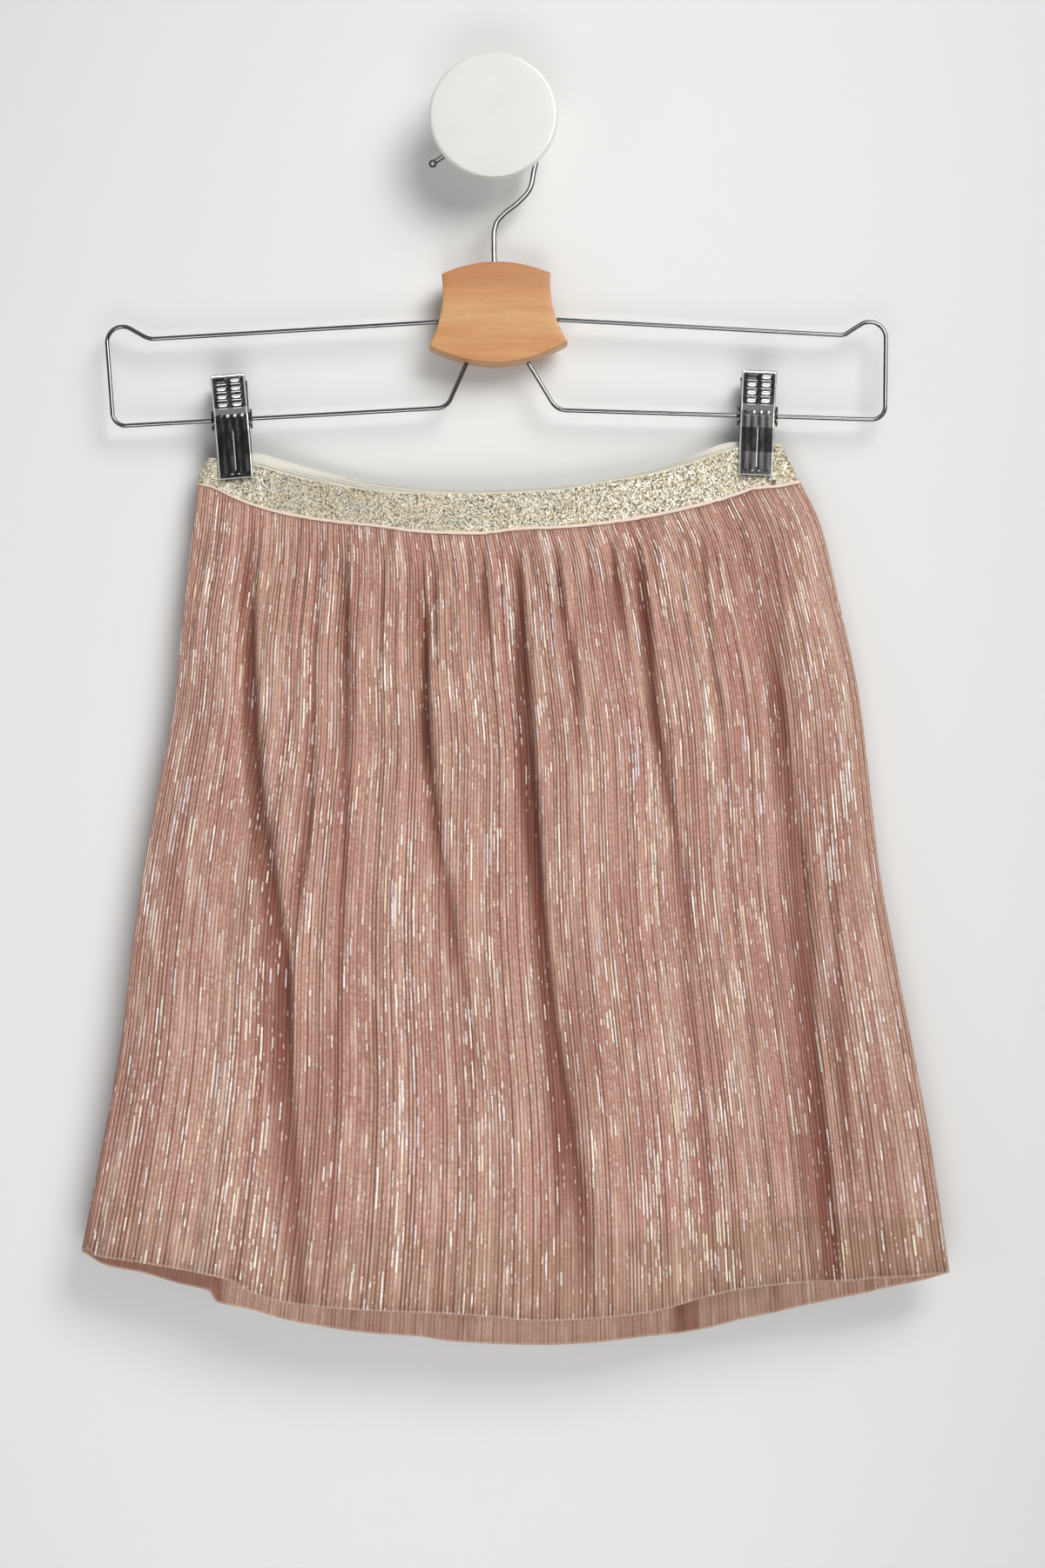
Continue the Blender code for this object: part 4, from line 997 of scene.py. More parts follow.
class Maker:
    """Turns grids and rings of points into meshes."""

    @staticmethod
    def mesh(
        name: str,
        points: Array,
        faces: Array,
        layers: Mapping[str, Array],
        slots: Array,
        materials: Sequence[Material],
    ) -> Thing:
        """A smooth mesh object.

        Args:
            name: The piece's name.
            points: Its points, in millimetres.
            faces: Four point numbers a face.
            layers: UV layers, with two numbers for each face corner.
            slots: Each face's material number.
            materials: The materials.

        Returns:
            The object, in the scene.
        """
        data = bpy.data.meshes.new(name)
        data.vertices.add(len(points))
        data.vertices.foreach_set("co", (np.asarray(points) * MM).astype(np.float32).ravel())
        data.loops.add(faces.size)
        data.loops.foreach_set("vertex_index", faces.astype(np.int32).ravel())
        data.polygons.add(len(faces))
        data.polygons.foreach_set("loop_start", np.arange(0, faces.size, 4, dtype=np.int32))
        data.polygons.foreach_set("material_index", slots.astype(np.int32))
        data.update(calc_edges=True)
        for layer, values in layers.items():
            data.uv_layers.new(name=layer).data.foreach_set("uv", values.astype(np.float32).ravel())
        for material in materials:
            data.materials.append(material)
        data.shade_smooth()
        data.validate()
        return into_scene(name, data)

    @staticmethod
    def shell(
        name: str,
        outer: Array,
        inner: Array,
        layers: Mapping[str, tuple[Array, Array]],
        materials: Sequence[Material],
        closed: bool = False,
        sharp: float | None = None,
        flipped: bool = False,
    ) -> Thing:
        """A thin wall of two grids of points and the rims between them.

        Args:
            name: The piece's name.
            outer: Rows of outer points, from the top down.
            inner: The same rows on the inner face.
            layers: UV layers as two grids; on a closed ring they have one column more than the points.
            materials: Outer face, inner face and rims; a missing one repeats the last.
            closed: Whether the last column joins the first.
            sharp: Angle in degrees above which an edge is sharp, or None.
            flipped: Whether the columns run the other way, so that the outer face looks outward.

        Returns:
            The object, in the scene.
        """
        if flipped:
            outer, inner = outer[:, ::-1], inner[:, ::-1]
            layers = {key: (first[:, ::-1], second[:, ::-1]) for key, (first, second) in layers.items()}
        down, along = outer.shape[:2]
        spans = along if closed else along - 1
        number = np.arange(down * along).reshape(down, along)
        i, j = (grid.ravel() for grid in np.mgrid[0 : down - 1, 0:spans])
        k = (j + 1) % along
        size = down * along
        skin = np.stack([number[i, j], number[i + 1, j], number[i + 1, k], number[i, k]], axis=1)
        skin_uv = [(i, j), (i + 1, j), (i + 1, j + 1), (i, j + 1)]
        straight, turned = (0, 1, 2, 3), (0, 3, 2, 1)
        groups = [(skin, skin_uv, 0), (skin[:, turned] + size, [skin_uv[n] for n in turned], 1)]
        i, j = np.arange(down - 1), np.arange(spans)
        walks = [((0, j), (0, j + 1), straight), ((down - 1, j + 1), (down - 1, j), straight)]
        if not closed:
            walks += [((i, 0), (i + 1, 0), turned), ((i, along - 1), (i + 1, along - 1), straight)]
        for start, end, order in walks:
            here, ahead = np.broadcast_arrays(*start), np.broadcast_arrays(*end)
            near, far = (number[row, place % along] for row, place in (here, ahead))
            rim = np.stack([near, far, far + size, near + size], axis=1)[:, order]
            corners = (here, ahead, ahead, here)
            groups.append((rim, [corners[n] for n in order], 2))
        faces = np.concatenate([group[0] for group in groups])
        most = len(materials) - 1
        slots = np.concatenate([np.full(len(group[0]), min(group[2], most)) for group in groups])
        uvs = {}
        for layer, (first, second) in layers.items():
            both = np.stack([first, second], axis=-1)
            parts = [np.stack([both[row, place] for row, place in group[1]], axis=1) for group in groups]
            uvs[layer] = np.concatenate(parts)
        points = np.concatenate([outer.reshape(-1, 3), inner.reshape(-1, 3)])
        piece = Maker.mesh(name, points, faces, uvs, slots, materials)
        if sharp is not None:
            piece.data.set_sharp_from_angle(angle=math.radians(sharp))
        return piece

    @staticmethod
    def rings(
        name: str, rings: Sequence[Array], material: Material, sharp: float = 50.0
    ) -> Thing:
        """A solid through rings of points, each ring of the same count, closed by a fan at both ends.

        Args:
            name: The piece's name.
            rings: The rings in order.
            material: Its material.
            sharp: Angle in degrees above which an edge is sharp.

        Returns:
            The object, in the scene.
        """
        points = [tuple(p) for ring in rings for p in ring]
        count = len(rings[0])
        faces = []
        for i in range(len(rings) - 1):
            for k in range(count):
                m = (k + 1) % count
                faces.append((i * count + k, i * count + m, (i + 1) * count + m, (i + 1) * count + k))
        for ring_start, order in ((0, -1), ((len(rings) - 1) * count, 1)):
            middle = len(points)
            points.append(tuple(np.mean(points[ring_start : ring_start + count], axis=0)))
            for k in range(count):
                m = (k + 1) % count
                ends = (ring_start + k, ring_start + m)[::order]
                faces.append((*ends, middle))
        data = bpy.data.meshes.new(name)
        data.from_pydata([tuple(c * MM for c in p) for p in points], [], faces)
        data.validate()
        data.materials.append(material)
        data.shade_smooth()
        data.set_sharp_from_angle(angle=math.radians(sharp))
        return into_scene(name, data)


def normals_of(rows: Array, side: Side) -> Array:
    """Level outward direction at each point of rows that run to the right, forced sideways at their ends."""
    run = np.gradient(rows, axis=1)
    direction = np.stack([run[..., 1], -run[..., 0], np.zeros(run.shape[:2])], axis=-1) * (-side.value)
    direction /= np.linalg.norm(direction, axis=-1, keepdims=True)
    direction[:, 0] = (-1.0, 0.0, 0.0)
    direction[:, -1] = (1.0, 0.0, 0.0)
    return direction


@dataclass
class SkirtPanel:
    """One pleated panel of the skirt."""

    side: Side
    form: SkirtForm
    gathers: int
    ribs: int = 226
    samples: int = 5
    rows: int = 42
    thickness: float = 0.6
    rib_height: float = 0.42
    gather_height: float = 1.1
    flute_height: float = 0.7
    hollow_depth: float = 2.2
    closer_at_top: float = 1.25
    flat_width: float = 0.46
    flat_length: float = 0.37

    def build(self, knit: Material, inside: Material) -> Thing:
        """Make the panel.

        Args:
            knit: Material of the outer face.
            inside: Material of the inner face and the rims.

        Returns:
            The panel.
        """
        tables = HALVES[self.side]
        shares = np.linspace(0.0, 1.0, self.rows) ** self.closer_at_top
        self.tucks = self._tucks()
        self.glints = FRONT_GLINTS if self.side is Side.FRONT else self._scattered_glints()
        rows_made = [self._row(float(share)) for share in shares]
        outer, plain, notes = (np.array([row[part] for row in rows_made]) for part in range(3))
        inner = outer - normals_of(plain, self.side) * self.thickness
        count = self.ribs * self.samples + 1
        place = np.tile(np.arange(count) / self.samples, (self.rows, 1))
        down = np.repeat((shares * self.flat_length / MM)[:, None], count, axis=1)
        crest_and_painted_shade, above_lining, dense, above_hem = notes.swapaxes(0, 1)
        layers = {"rib": (place, down), "form": (crest_and_painted_shade, above_lining), "foil": (dense, above_hem)}
        name = f"pleated_{tables.label}"
        piece = Maker.shell(name, outer, inner, layers, (knit, inside), flipped=self.side is Side.BACK)
        hand_over(piece, f"skirt_{tables.label}")
        return piece

    def _tucks(self) -> list[Crease]:
        """Short fine gathers that run down from the waistband, no two alike."""
        draw = np.random.default_rng(41 if self.side is Side.FRONT else 43)
        found = []
        start = SECTIONS[0].left + 7.0
        while start < SECTIONS[0].right - 7.0:
            depth = draw.uniform(1.4, 4.0)
            reach = draw.uniform(0.12, 0.40)
            fan = (start - 0.5 * (SECTIONS[0].left + SECTIONS[0].right)) * 0.30 + draw.uniform(-5.0, 5.0)
            path = tuple(start + fan * station for station in STATIONS)
            fades = tuple(depth * max(0.0, 1.0 - station / reach) ** 0.7 for station in STATIONS)
            found.append(Crease(path, fades, draw.uniform(1.0, 2.2), draw.uniform(0.7, 1.2)))
            start += draw.uniform(3.0, 8.0)
        return found

    def _scattered_glints(self) -> list[Patch]:
        """Patches of painted highlights, laid in as dense foil, for the side that the photograph doesn't show.
        """
        draw = np.random.default_rng(61)
        ranges = ((-150.0, 165.0), (-520.0, -200.0), (2.4, 4.0), (14.0, 34.0), (0.5, 1.0))
        return [Patch(*(draw.uniform(*ends) for ends in ranges)) for _ in range(46)]

    @staticmethod
    def _strength(patches: Sequence[Patch], x: Array, z: Array) -> Array:
        """How strong soft patches are at points of a row, 0 to 1."""
        found = np.zeros_like(x)
        for patch in patches:
            away = ((x - patch.x) / patch.width) ** 2 + ((z - patch.z) / patch.length) ** 2
            found = np.maximum(found, patch.strength * np.exp(-away * 0.6))
        return found

    def _row(self, share: float) -> tuple[Array, Array, Array]:
        """One row of the panel.

        Args:
            share: Share of the length.

        Returns:
            Its points, the same without ribs, and its notes: height on the folds with painted shade laid in,
            height above the lining's hem, density of the foil with its painted highlights, and height above
            the panel's own hem.
        """
        form = self.form
        side = self.side
        tables = HALVES[side]
        front = side is Side.FRONT
        section = form.section(share)
        place = np.linspace(0.0, 1.0, self.ribs * self.samples + 1)
        across = form.evenly(lambda a: form.base(side, share, a), section.half, self.ribs * self.samples)
        drift = look_up(PLEAT_DRIFT, SECTIONS[0].left + 2.0 * SECTIONS[0].half * place)
        across = across + (drift if front else -0.5 * drift) * ease(0.0, 1.0, share) / section.half
        x = section.place(across)
        z = form.height(side, share, across)
        base = form.base(side, share, across)
        puffed = form.puffed(share, across)
        waves = self._waves(share, place)
        # The hollows push the cloth in and are also painted with shade
        shaded_hollow = self._strength(tables.shaded_hollows, x, z) * ease(0.05, 0.25, share)
        inward = form.inward(tables.folds, share, x) + form.inward(self.tucks, share, x)
        inward = inward + self.hollow_depth * shaded_hollow
        room = base - form.lining(side, share, across) - form.lining_gap
        inward = np.minimum(inward, np.minimum(room + puffed, form.front_room if front else form.back_room))
        inward = inward * ease(0.0, 0.03, place) * ease(0.0, 0.03, 1.0 - place)
        smooth = GAP / 2 + base + puffed * 0.8 - inward + waves
        y = section.middle + side.value * (smooth + self._ribs(share, place))
        y_smooth = section.middle + side.value * smooth
        # Painted shade: fold valleys, hollows and the gathers' troughs lower this, and the knit paints it dark
        crest_and_painted_shade = 0.5 - inward / 12.5 + waves / 6.0 - shaded_hollow * 0.15
        if front:
            # Painted shade on the strip left of the first fold, in the lower half
            beyond = through(STATIONS, tables.folds[0].path, share) - x
            crest_and_painted_shade = crest_and_painted_shade - 0.34 * ease(1.4, 3.0, beyond) * ease(0.50, 0.85, share)
        else:
            y = np.minimum(y, form.wall_limit)
            # Near its hem the back's painted shade comes from its table
            near_hem = ease(0.80, 0.93, share)
            crest_and_painted_shade = crest_and_painted_shade * (1.0 - near_hem) + (look_up(BACK_PAINTED_LIGHT, x) + waves / 12.0) * near_hem
        notes = np.stack([
            np.clip(crest_and_painted_shade, 0.0, 1.0),
            z - look_up(tables.hem, x) - look_up(LINING_RISE, x),
            self._strength(self.glints, x, z),
            z - form.height(side, 1.0, across),
        ])
        return np.stack([x, y, z], axis=1), np.stack([x, y_smooth, z], axis=1), notes

    def _ribs(self, share: float, place: Array) -> Array:
        """Height of the fine ribs along a row."""
        index = np.floor(place * self.ribs + 0.5)
        uneven = 0.80 + 0.20 * np.sin(index * 2.4) * np.cos(index * 0.77)
        ends = ease(0.0, 0.004, place) * ease(0.0, 0.004, 1.0 - place)
        height = self.rib_height * (0.4 + 0.6 * ease(0.0, 0.1, share))
        return height * uneven * ends * 0.5 * (1.0 + np.cos(2.0 * math.pi * self.ribs * place))

    def _waves(self, share: float, place: Array) -> Array:
        """Height of the gathers at the waistband, the flutes below them and the cloth's slow unevenness."""
        top = 1.0 - ease(0.02, 0.35, share)
        height = self.gather_height * top + self.flute_height * ease(0.25, 1.0, share)
        height *= ease(0.0, 0.03, share)
        index = np.floor(place * self.gathers + 0.5)
        uneven = 0.72 + 0.28 * np.sin(index * 2.4) * np.cos(index * 0.9)
        ends = ease(0.0, 0.02, place) * ease(0.0, 0.02, 1.0 - place)
        gather = height * uneven * 0.5 * (1.0 + np.cos(2.0 * math.pi * self.gathers * place))
        seed = 11 if self.side is Side.FRONT else 23
        tucks = wander(seed, 5, 30, 62)(place) * 0.32 * (0.35 + 0.65 * top)
        slow = wander(seed + 1, 5, 5, 16)(place + 0.10 * share)
        slow = slow * 0.55 * ease(0.05, 0.5, share) * math.cos(2.2 * share)
        return (gather + tucks + slow) * ends


@dataclass
class LiningPanel:
    """One plain panel of the lining, ending above the skirt's hem."""

    side: Side
    form: SkirtForm
    columns: int = 180
    rows: int = 30
    thickness: float = 0.6
    hem_rise: float = 35.0
    side_inset: float = 5.0
    weave_length: float = 360.0
    flat_width: float = 0.36
    flat_length: float = 0.335

    def build(self, cloth: Material) -> Thing:
        """Make the panel from its one material."""
        form = self.form
        tables = HALVES[self.side]
        last = 1.0 - self.hem_rise / (max(column(BAND_FRONT, "bottom")) - min(column(tables.hem, "value")))
        shares = np.linspace(0.0, last, self.rows)
        rows_made = []
        for share in shares:
            section = form.section(float(share))
            inset = self.side_inset * (0.4 + 0.6 * ease(0.0, 0.1, share)) + form.lining_gap
            limit = (section.half - inset) / section.half
            across = np.sin(np.linspace(-0.5, 0.5, self.columns + 1) * math.pi) * limit
            edge = np.sqrt(np.clip((limit - np.abs(across)) * section.half * 2.6, 0.0, None))
            offset = np.minimum(edge, form.lining(self.side, float(share), across))
            hem_roll = 0.25 * ease(last - 0.035, last - 0.03, share)
            y = section.middle + self.side.value * (GAP / 2 + offset + hem_roll)
            height = form.height(self.side, float(share), across)
            rows_made.append(np.stack([section.place(across), y, height], axis=1))
        outer = np.array(rows_made)
        inner = outer - normals_of(outer, self.side) * self.thickness
        down = np.repeat((shares * self.weave_length)[:, None], self.columns + 1, axis=1)
        name = f"lining_cloth_{tables.label}"
        layers = {"rib": (outer[..., 0], down)}
        piece = Maker.shell(name, outer, inner, layers, (cloth,), flipped=self.side is Side.BACK)
        hand_over(piece, f"lining_{tables.label}")
        return piece


@dataclass
class Waistband:
    """The elastic loop with piped edges."""

    form: SkirtForm
    columns: int = 300
    rows: int = 27
    thickness: float = 1.5
    lean_left: float = 5.0
    lean_right: float = 9.0
    leans_from: float = 0.8
    piping: float = 0.75
    piping_middle: float = 0.55
    piping_half: float = 0.6
    edge_tuck: float = 0.25
    pucker_height: float = 0.10
    width: float = 19.0
    flat_length: float = 0.56

    def build(self, face: Material, inside: Material) -> Thing:
        """Make the band.

        Args:
            face: Material of the outer face.
            inside: Material of the face towards the body.

        Returns:
            The band.
        """
        top = SECTIONS[0]
        across = self.form.evenly(self.form.band_offset, top.half, self.columns)
        x = top.place(across)
        offset = self.form.band_offset(across)
        pucker = wander(5, 4, 20, 55)(np.linspace(0.0, 1.0, len(x)))
        parts = np.linspace(0.0, 1.0, self.rows)
        rows_made = []
        for part in parts:
            at = x + self._lean(across, part)
            swell = self._profile(part) + self.pucker_height * pucker * math.sin(math.pi * part)
            front = np.stack([at, top.middle - offset - swell, self._height(BAND_FRONT, x, part)], axis=1)
            back = np.stack([at, top.middle + offset + swell, self._height(BAND_BACK, x, part)], axis=1)
            rows_made.append(np.concatenate([front, back[-2:0:-1]]))
        outer = np.array(rows_made)
        ahead = np.roll(outer, -1, axis=1) - np.roll(outer, 1, axis=1)
        direction = np.stack([ahead[..., 1], -ahead[..., 0], np.zeros(ahead.shape[:2])], axis=-1)
        direction /= np.linalg.norm(direction, axis=-1, keepdims=True)
        steps = np.linalg.norm(np.diff(outer[0], axis=0, append=outer[0][:1]), axis=1)
        along = np.tile(np.concatenate(([0.0], np.cumsum(steps))), (self.rows, 1))
        down = np.repeat((self.width * parts)[:, None], along.shape[1], axis=1)
        inner = outer - direction * self.thickness
        materials = (face, inside, face)
        piece = Maker.shell("elastic_band", outer, inner, {"band": (along, down)}, materials, closed=True)
        hand_over(piece, "waistband")
        return piece

    def _lean(self, across: Array, part: float) -> Array:
        """How far the ends lean in, part of the way from the top edge to the bottom edge."""
        left = self.lean_left * (1.0 - part) ** 2
        right = -self.lean_right * (1.0 - part)
        return ease(self.leans_from, 1.0, np.abs(across)) * np.where(across < 0.0, left, right)

    def _profile(self, part: float) -> float:
        """How far the face stands out: a cord along each edge, and a little fullness between."""
        from_edge = min(part, 1.0 - part) * self.width
        cord = self.piping * max(0.0, 1.0 - ((from_edge - self.piping_middle) / self.piping_half) ** 2)
        return cord - (self.edge_tuck if from_edge < 0.05 else 0.0)

    @staticmethod
    def _height(table: Sequence[Edge], x: Array, part: float) -> Array:
        """Height on the band, part of the way from its top edge to its bottom edge."""
        high = look_up(table, x, "top")
        return high + (look_up(table, x, "bottom") - high) * part


@dataclass
class Hanger:
    """The wood block, the hook and the two wire loops."""

    loop_radius: float = 0.95
    hook_radius: float = 1.0
    drawn_radius: float = 1.14
    hook_arc: float = 19.5
    ball_radius: float = 1.9
    stem_radius: float = 4.7
    wire_sides: int = 20
    block_thickness: float = 12.0
    block_edge: float = 0.7
    hook_foot: tuple[tuple[float, float], ...] = (
        (0.2, -63.7), (0.1, -55.1), (0.3, -48.3), (1.5, -44.3), (4.5, -40.7), (10.6, -35.7), (16.3, -29.1),
    )
    hook_tip: tuple[tuple[float, float], ...] = ((-19.5, -9.0), (-22.4, -13.0), (-26.5, -16.1))
    left: tuple[Point, ...] = (
        (-24.8, -90.6, 0.0), (-156.3, -98.6, 9.0), (-176.4, -87.1, 7.0),
        (-172.0, -138.8, 6.0), (-21.2, -130.2, 7.0), (-12.2, -109.5, 0.0),
    )
    right: tuple[Point, ...] = (
        (28.6, -89.6, 0.0), (158.8, -96.8, 5.0), (178.2, -84.3, 7.4),
        (177.1, -135.8, 6.0), (28.6, -131.3, 8.0), (15.6, -109.4, 0.0),
    )

    def build(self, wood: Material, chrome: Material, bright: Material) -> list[Thing]:
        """Make the hanger.

        Args:
            wood: The block's material.
            chrome: The loops' material.
            bright: The hook's material.

        Returns:
            Its pieces.
        """
        pieces = [self._block(wood)]
        for label, corners in (("left", self.left), ("right", self.right)):
            route = self.filleted(corners)
            radii = np.full(len(route), self.loop_radius)
            pieces.append(self._wire(f"wire_loop_{label}", f"hanger_loop_{label}", route, radii, chrome))
        return [*pieces, self._hook(bright)]

    @staticmethod
    def filleted(corners: Sequence[Point], steps: int = 14) -> Array:
        """Points along straight runs in the hanger's plane, with their corners rounded."""
        here = [np.array([x, z]) for x, z, _ in corners]
        points = [here[0]]
        for before, corner, after, (_, _, radius) in zip(here, here[1:], here[2:], corners[1:]):
            arriving = (corner - before) / np.linalg.norm(corner - before)
            leaving = (after - corner) / np.linalg.norm(after - corner)
            turn = math.acos(float(np.clip(arriving @ leaving, -1.0, 1.0)))
            start = corner - arriving * radius * math.tan(turn / 2)
            inward = leaving - arriving * float(leaving @ arriving)
            inward /= np.linalg.norm(inward)
            for angle in np.linspace(0.0, turn, steps + 1):
                along = inward * (1.0 - math.cos(angle)) + arriving * math.sin(angle)
                points.append(start + along * radius)
        points.append(here[-1])
        return np.array([(x, HANGER_Y, z) for x, z in points])

    def _wire(self, name: str, node: str, route: Array, radii: Array, chrome: Material) -> Thing:
        """A round wire along a route in the hanger's plane, standing for a CAD node."""
        run = np.gradient(route, axis=0)
        run /= np.linalg.norm(run, axis=1, keepdims=True)
        level = np.array([0.0, 1.0, 0.0])
        beside = np.cross(run, level)
        angles = np.linspace(0.0, 2.0 * math.pi, self.wire_sides, endpoint=False)
        rings = [
            point + (np.outer(np.cos(angles), level) + np.outer(np.sin(angles), side)) * radius
            for point, side, radius in zip(route, beside, radii)
        ]
        return hand_over(Maker.rings(name, rings, chrome), node)

    def _hook(self, chrome: Material) -> Thing:
        """The hook, from the block round the stem to its ball."""
        centre_z = self.stem_radius + GAP + self.hook_radius - self.hook_arc
        turns = [math.radians(degrees) for degrees in range(-19, 157, 12)]
        arc = [(self.hook_arc * math.cos(a), centre_z + self.hook_arc * math.sin(a)) for a in turns]
        rough = np.array([*self.hook_foot, *arc, *self.hook_tip])
        lengths = np.concatenate(([0.0], np.cumsum(np.linalg.norm(np.diff(rough, axis=0), axis=1))))
        at = np.linspace(0.0, lengths[-1], 150)
        x, z = (cubic(lengths, part, np.gradient(part, lengths), at) for part in rough.T)
        route = np.stack([x, np.full_like(x, HANGER_Y), z], axis=1)
        run = (route[-1] - route[-2]) / np.linalg.norm(route[-1] - route[-2])
        neck = math.asin(self.hook_radius / self.ball_radius)
        centre = route[-1] + run * self.ball_radius * math.cos(neck)
        turns = np.linspace(neck, math.radians(172), 14)[1:]
        ball = [centre - run * self.ball_radius * math.cos(a) for a in turns]
        radii = np.concatenate([np.full(len(route), self.drawn_radius), self.ball_radius * np.sin(turns)])
        return self._wire("wire_hook", "hanger_hook", np.concatenate([route, ball]), radii, chrome)

    def _block(self, wood: Material) -> Thing:
        """The wood block: bowed edges, drawn-in sides and softened rims."""
        sides = (
            ((-29.1, -102.8), (33.4, -100.8), -8.8, 36),
            ((33.4, -100.8), (25.7, -69.2), 2.6, 22),
            ((25.7, -69.2), (-23.5, -69.6), -5.4, 32),
            ((-23.5, -69.6), (-29.1, -102.8), 2.6, 22),
        )
        outline = np.concatenate([self._bowed(*side) for side in sides])
        turn = np.roll(outline, -1, axis=0) - np.roll(outline, 1, axis=0)
        out = np.stack([turn[:, 1], -turn[:, 0]], axis=1)
        out /= np.linalg.norm(out, axis=1, keepdims=True)
        deep = self.block_thickness / 2
        edge = self.block_edge
        turns = [math.radians(degrees) for degrees in range(0, 91, 15)]
        profile = [(-deep + edge - edge * math.cos(a), edge * (math.sin(a) - 1.0)) for a in turns]
        profile += [(-y, inset) for y, inset in reversed(profile)]
        solid = [self._level(outline + out * inset, y) for y, inset in profile]
        middle = outline.mean(axis=0)
        for scale in (0.85, 0.45):
            flat = middle + (outline + out * -edge - middle) * scale
            solid = [self._level(flat, -deep), *solid, self._level(flat, deep)]
        return hand_over(Maker.rings("wood_block", solid, wood, 60.0), "hanger_block")

    @staticmethod
    def _level(ring: Array, y: float) -> Array:
        """A flat ring of (x, z) points, set at a distance from the hanger's plane."""
        return np.stack([ring[:, 0], np.full(len(ring), HANGER_Y + y), ring[:, 1]], axis=1)

    @staticmethod
    def _bowed(start: tuple[float, float], end: tuple[float, float], bow: float, steps: int) -> Array:
        """Points from start up to end, bowed to the left of the way, without the end itself."""
        first = np.array(start)
        way = np.array(end) - first
        left = np.array([-way[1], way[0]]) / np.linalg.norm(way)
        s = (np.arange(steps) / steps)[:, None]
        return first + way * s + left * bow * 4.0 * s * (1.0 - s)


@dataclass
class Clip:
    """One clip: two pressed plates, a barrel round the wire and ears beside it."""

    name: str
    node: str
    loop: tuple[Point, ...]
    x: float
    width: float = 15.6
    lean: float = 0.0
    plate: float = 1.0
    barrel_radius: float = 3.1
    barrel_length: float = 18.4
    barrel_sides: int = 36
    barrel_flatness: float = 0.7
    ear_radius: float = 4.6
    ear_thickness: float = 0.9
    bore: float = 1.3
    profile: tuple[tuple[float, float], ...] = (
        (19.0, 8.5), (17.6, 7.9), (4.4, 4.95), (1.5, 3.4),
        (-6.0, 3.4), (-17.0, 2.35), (-27.0, 2.25), (-28.2, 2.85),
    )
    ridge_rows: tuple[float, ...] = (16.1, 12.6, 9.1, 5.6)

    def build(self, face: Material, plain: Material, inner: Material) -> list[Thing]:
        """Make the clip.

        Args:
            face: Material of the pressed plates.
            plain: Material of the plates' edges.
            inner: Material of the plates' inner faces, the barrel and the ears.

        Returns:
            Its pieces.
        """
        self._place()
        materials = (face, inner, plain)
        plates = [self._plate(side, materials) for side in Side]
        return [*plates, self._barrel(inner)]

    def _place(self) -> None:
        """Work out where the clip sits on its wire, and the wire's direction there."""
        start, end = (np.array(corner[:2]) for corner in self.loop[3:5])
        along = (end - start) / np.linalg.norm(end - start)
        along = along if along[0] > 0.0 else -along
        z = start[1] + (end[1] - start[1]) * (self.x - start[0]) / (end[0] - start[0])
        self.origin = np.array([self.x, HANGER_Y, z])
        self.along = np.array([along[0], 0.0, along[1]])
        self.up = np.array([-along[1], 0.0, along[0]])
        angle = math.radians(self.lean)
        self.across = self.along * math.cos(angle) + self.up * math.sin(angle)
        self.upright = self.up * math.cos(angle) - self.along * math.sin(angle)

    def _at(self, t: Array, out: Array, height: Array, leaning: bool = True) -> Array:
        """Points at distances across the clip, out from the wire's plane and up from the wire."""
        level = np.array([0.0, 1.0, 0.0])
        return (
            self.origin
            + np.asarray(t)[..., None] * (self.across if leaning else self.along)
            + np.asarray(out)[..., None] * level
            + np.asarray(height)[..., None] * (self.upright if leaning else self.up)
        )

    def _relief(self, t: Array, height: Array) -> tuple[Array, Array]:
        """How far the face is pressed out, and its painted highlights on ridges, dots and edges.

        Args:
            t: Places across the plate.
            height: Places up the plate.

        Returns:
            The relief in millimetres, and the painted highlight, 0 to 1.
        """
        # Painted highlights: a lens on each ridge with a thin line below, the dots, the foot, a streak, the
        # rims, the lip and the top
        relief = np.zeros_like(t)
        bright = np.zeros_like(t)
        for row in self.ridge_rows:
            for middle in (-3.2, 3.2):
                across = 1.0 - ease(1.9, 2.7, np.abs(t - middle))
                up = np.clip(1.0 - ((height - row) / 1.25) ** 2, 0.0, 1.0)
                relief += 0.5 * across * np.sqrt(up)
                lens = 1.0 - np.abs((t - middle) / 2.3) ** 3 - ((height - row - 0.1) / 0.85) ** 2
                shine = 0.30 if row == self.ridge_rows[0] and middle < 0.0 else 1.0
                bright += shine * ease(0.0, 0.45, lens)
                bright += 0.62 * across * (1.0 - ease(0.14, 0.36, np.abs(height - row + 1.45)))
        for middle, shine in ((-4.95, 0.25), (-1.65, 1.0), (1.65, 1.0), (4.95, 0.9)):
            dot = np.clip(1.0 - ((t - middle) / 0.85) ** 2 - ((height - 0.9) / 0.85) ** 2, 0.0, 1.0)
            relief += 0.45 * np.sqrt(dot)
            bright += shine * ease(0.05, 0.45, dot)
            flute = ease(-26.0, -24.8, height) * (1.0 - ease(-1.2, 0.2, height))
            relief += 0.07 * flute * np.clip(1.0 - ((t - middle) / 1.25) ** 2, 0.0, 1.0)
            foot = 1.0 - ((t - middle * 0.9) / 0.9) ** 2 - ((height + 25.6) / 0.5) ** 2
            bright += (1.0 if abs(middle) < 2.0 else 0.3) * np.clip(foot, 0.0, 1.0)
        streak = ease(-25.5, -23.0, height) * (1.0 - ease(-8.0, -3.0, height))
        bright += streak * (1.0 - ease(0.10, 0.34, np.abs(t - 0.25)))
        edge = self.width / 2 - np.abs(t)
        relief -= 0.7 * (1.0 - arch((1.0 - np.clip(edge / 0.7, 0.0, 1.0)) ** 2))
        rim = 1.0 - ease(0.20, 0.38, np.abs(edge - 0.44))
        lip = 1.0 - ease(0.15, 0.45, np.abs(height + 27.6))
        top = 0.85 - 0.85 * ease(0.12, 0.36, np.abs(height - 18.3))
        return relief, np.clip(bright + 0.9 * lip + rim * (t < 0.0) + 0.75 * rim * (t > 0.0) + top, 0.0, 1.0)

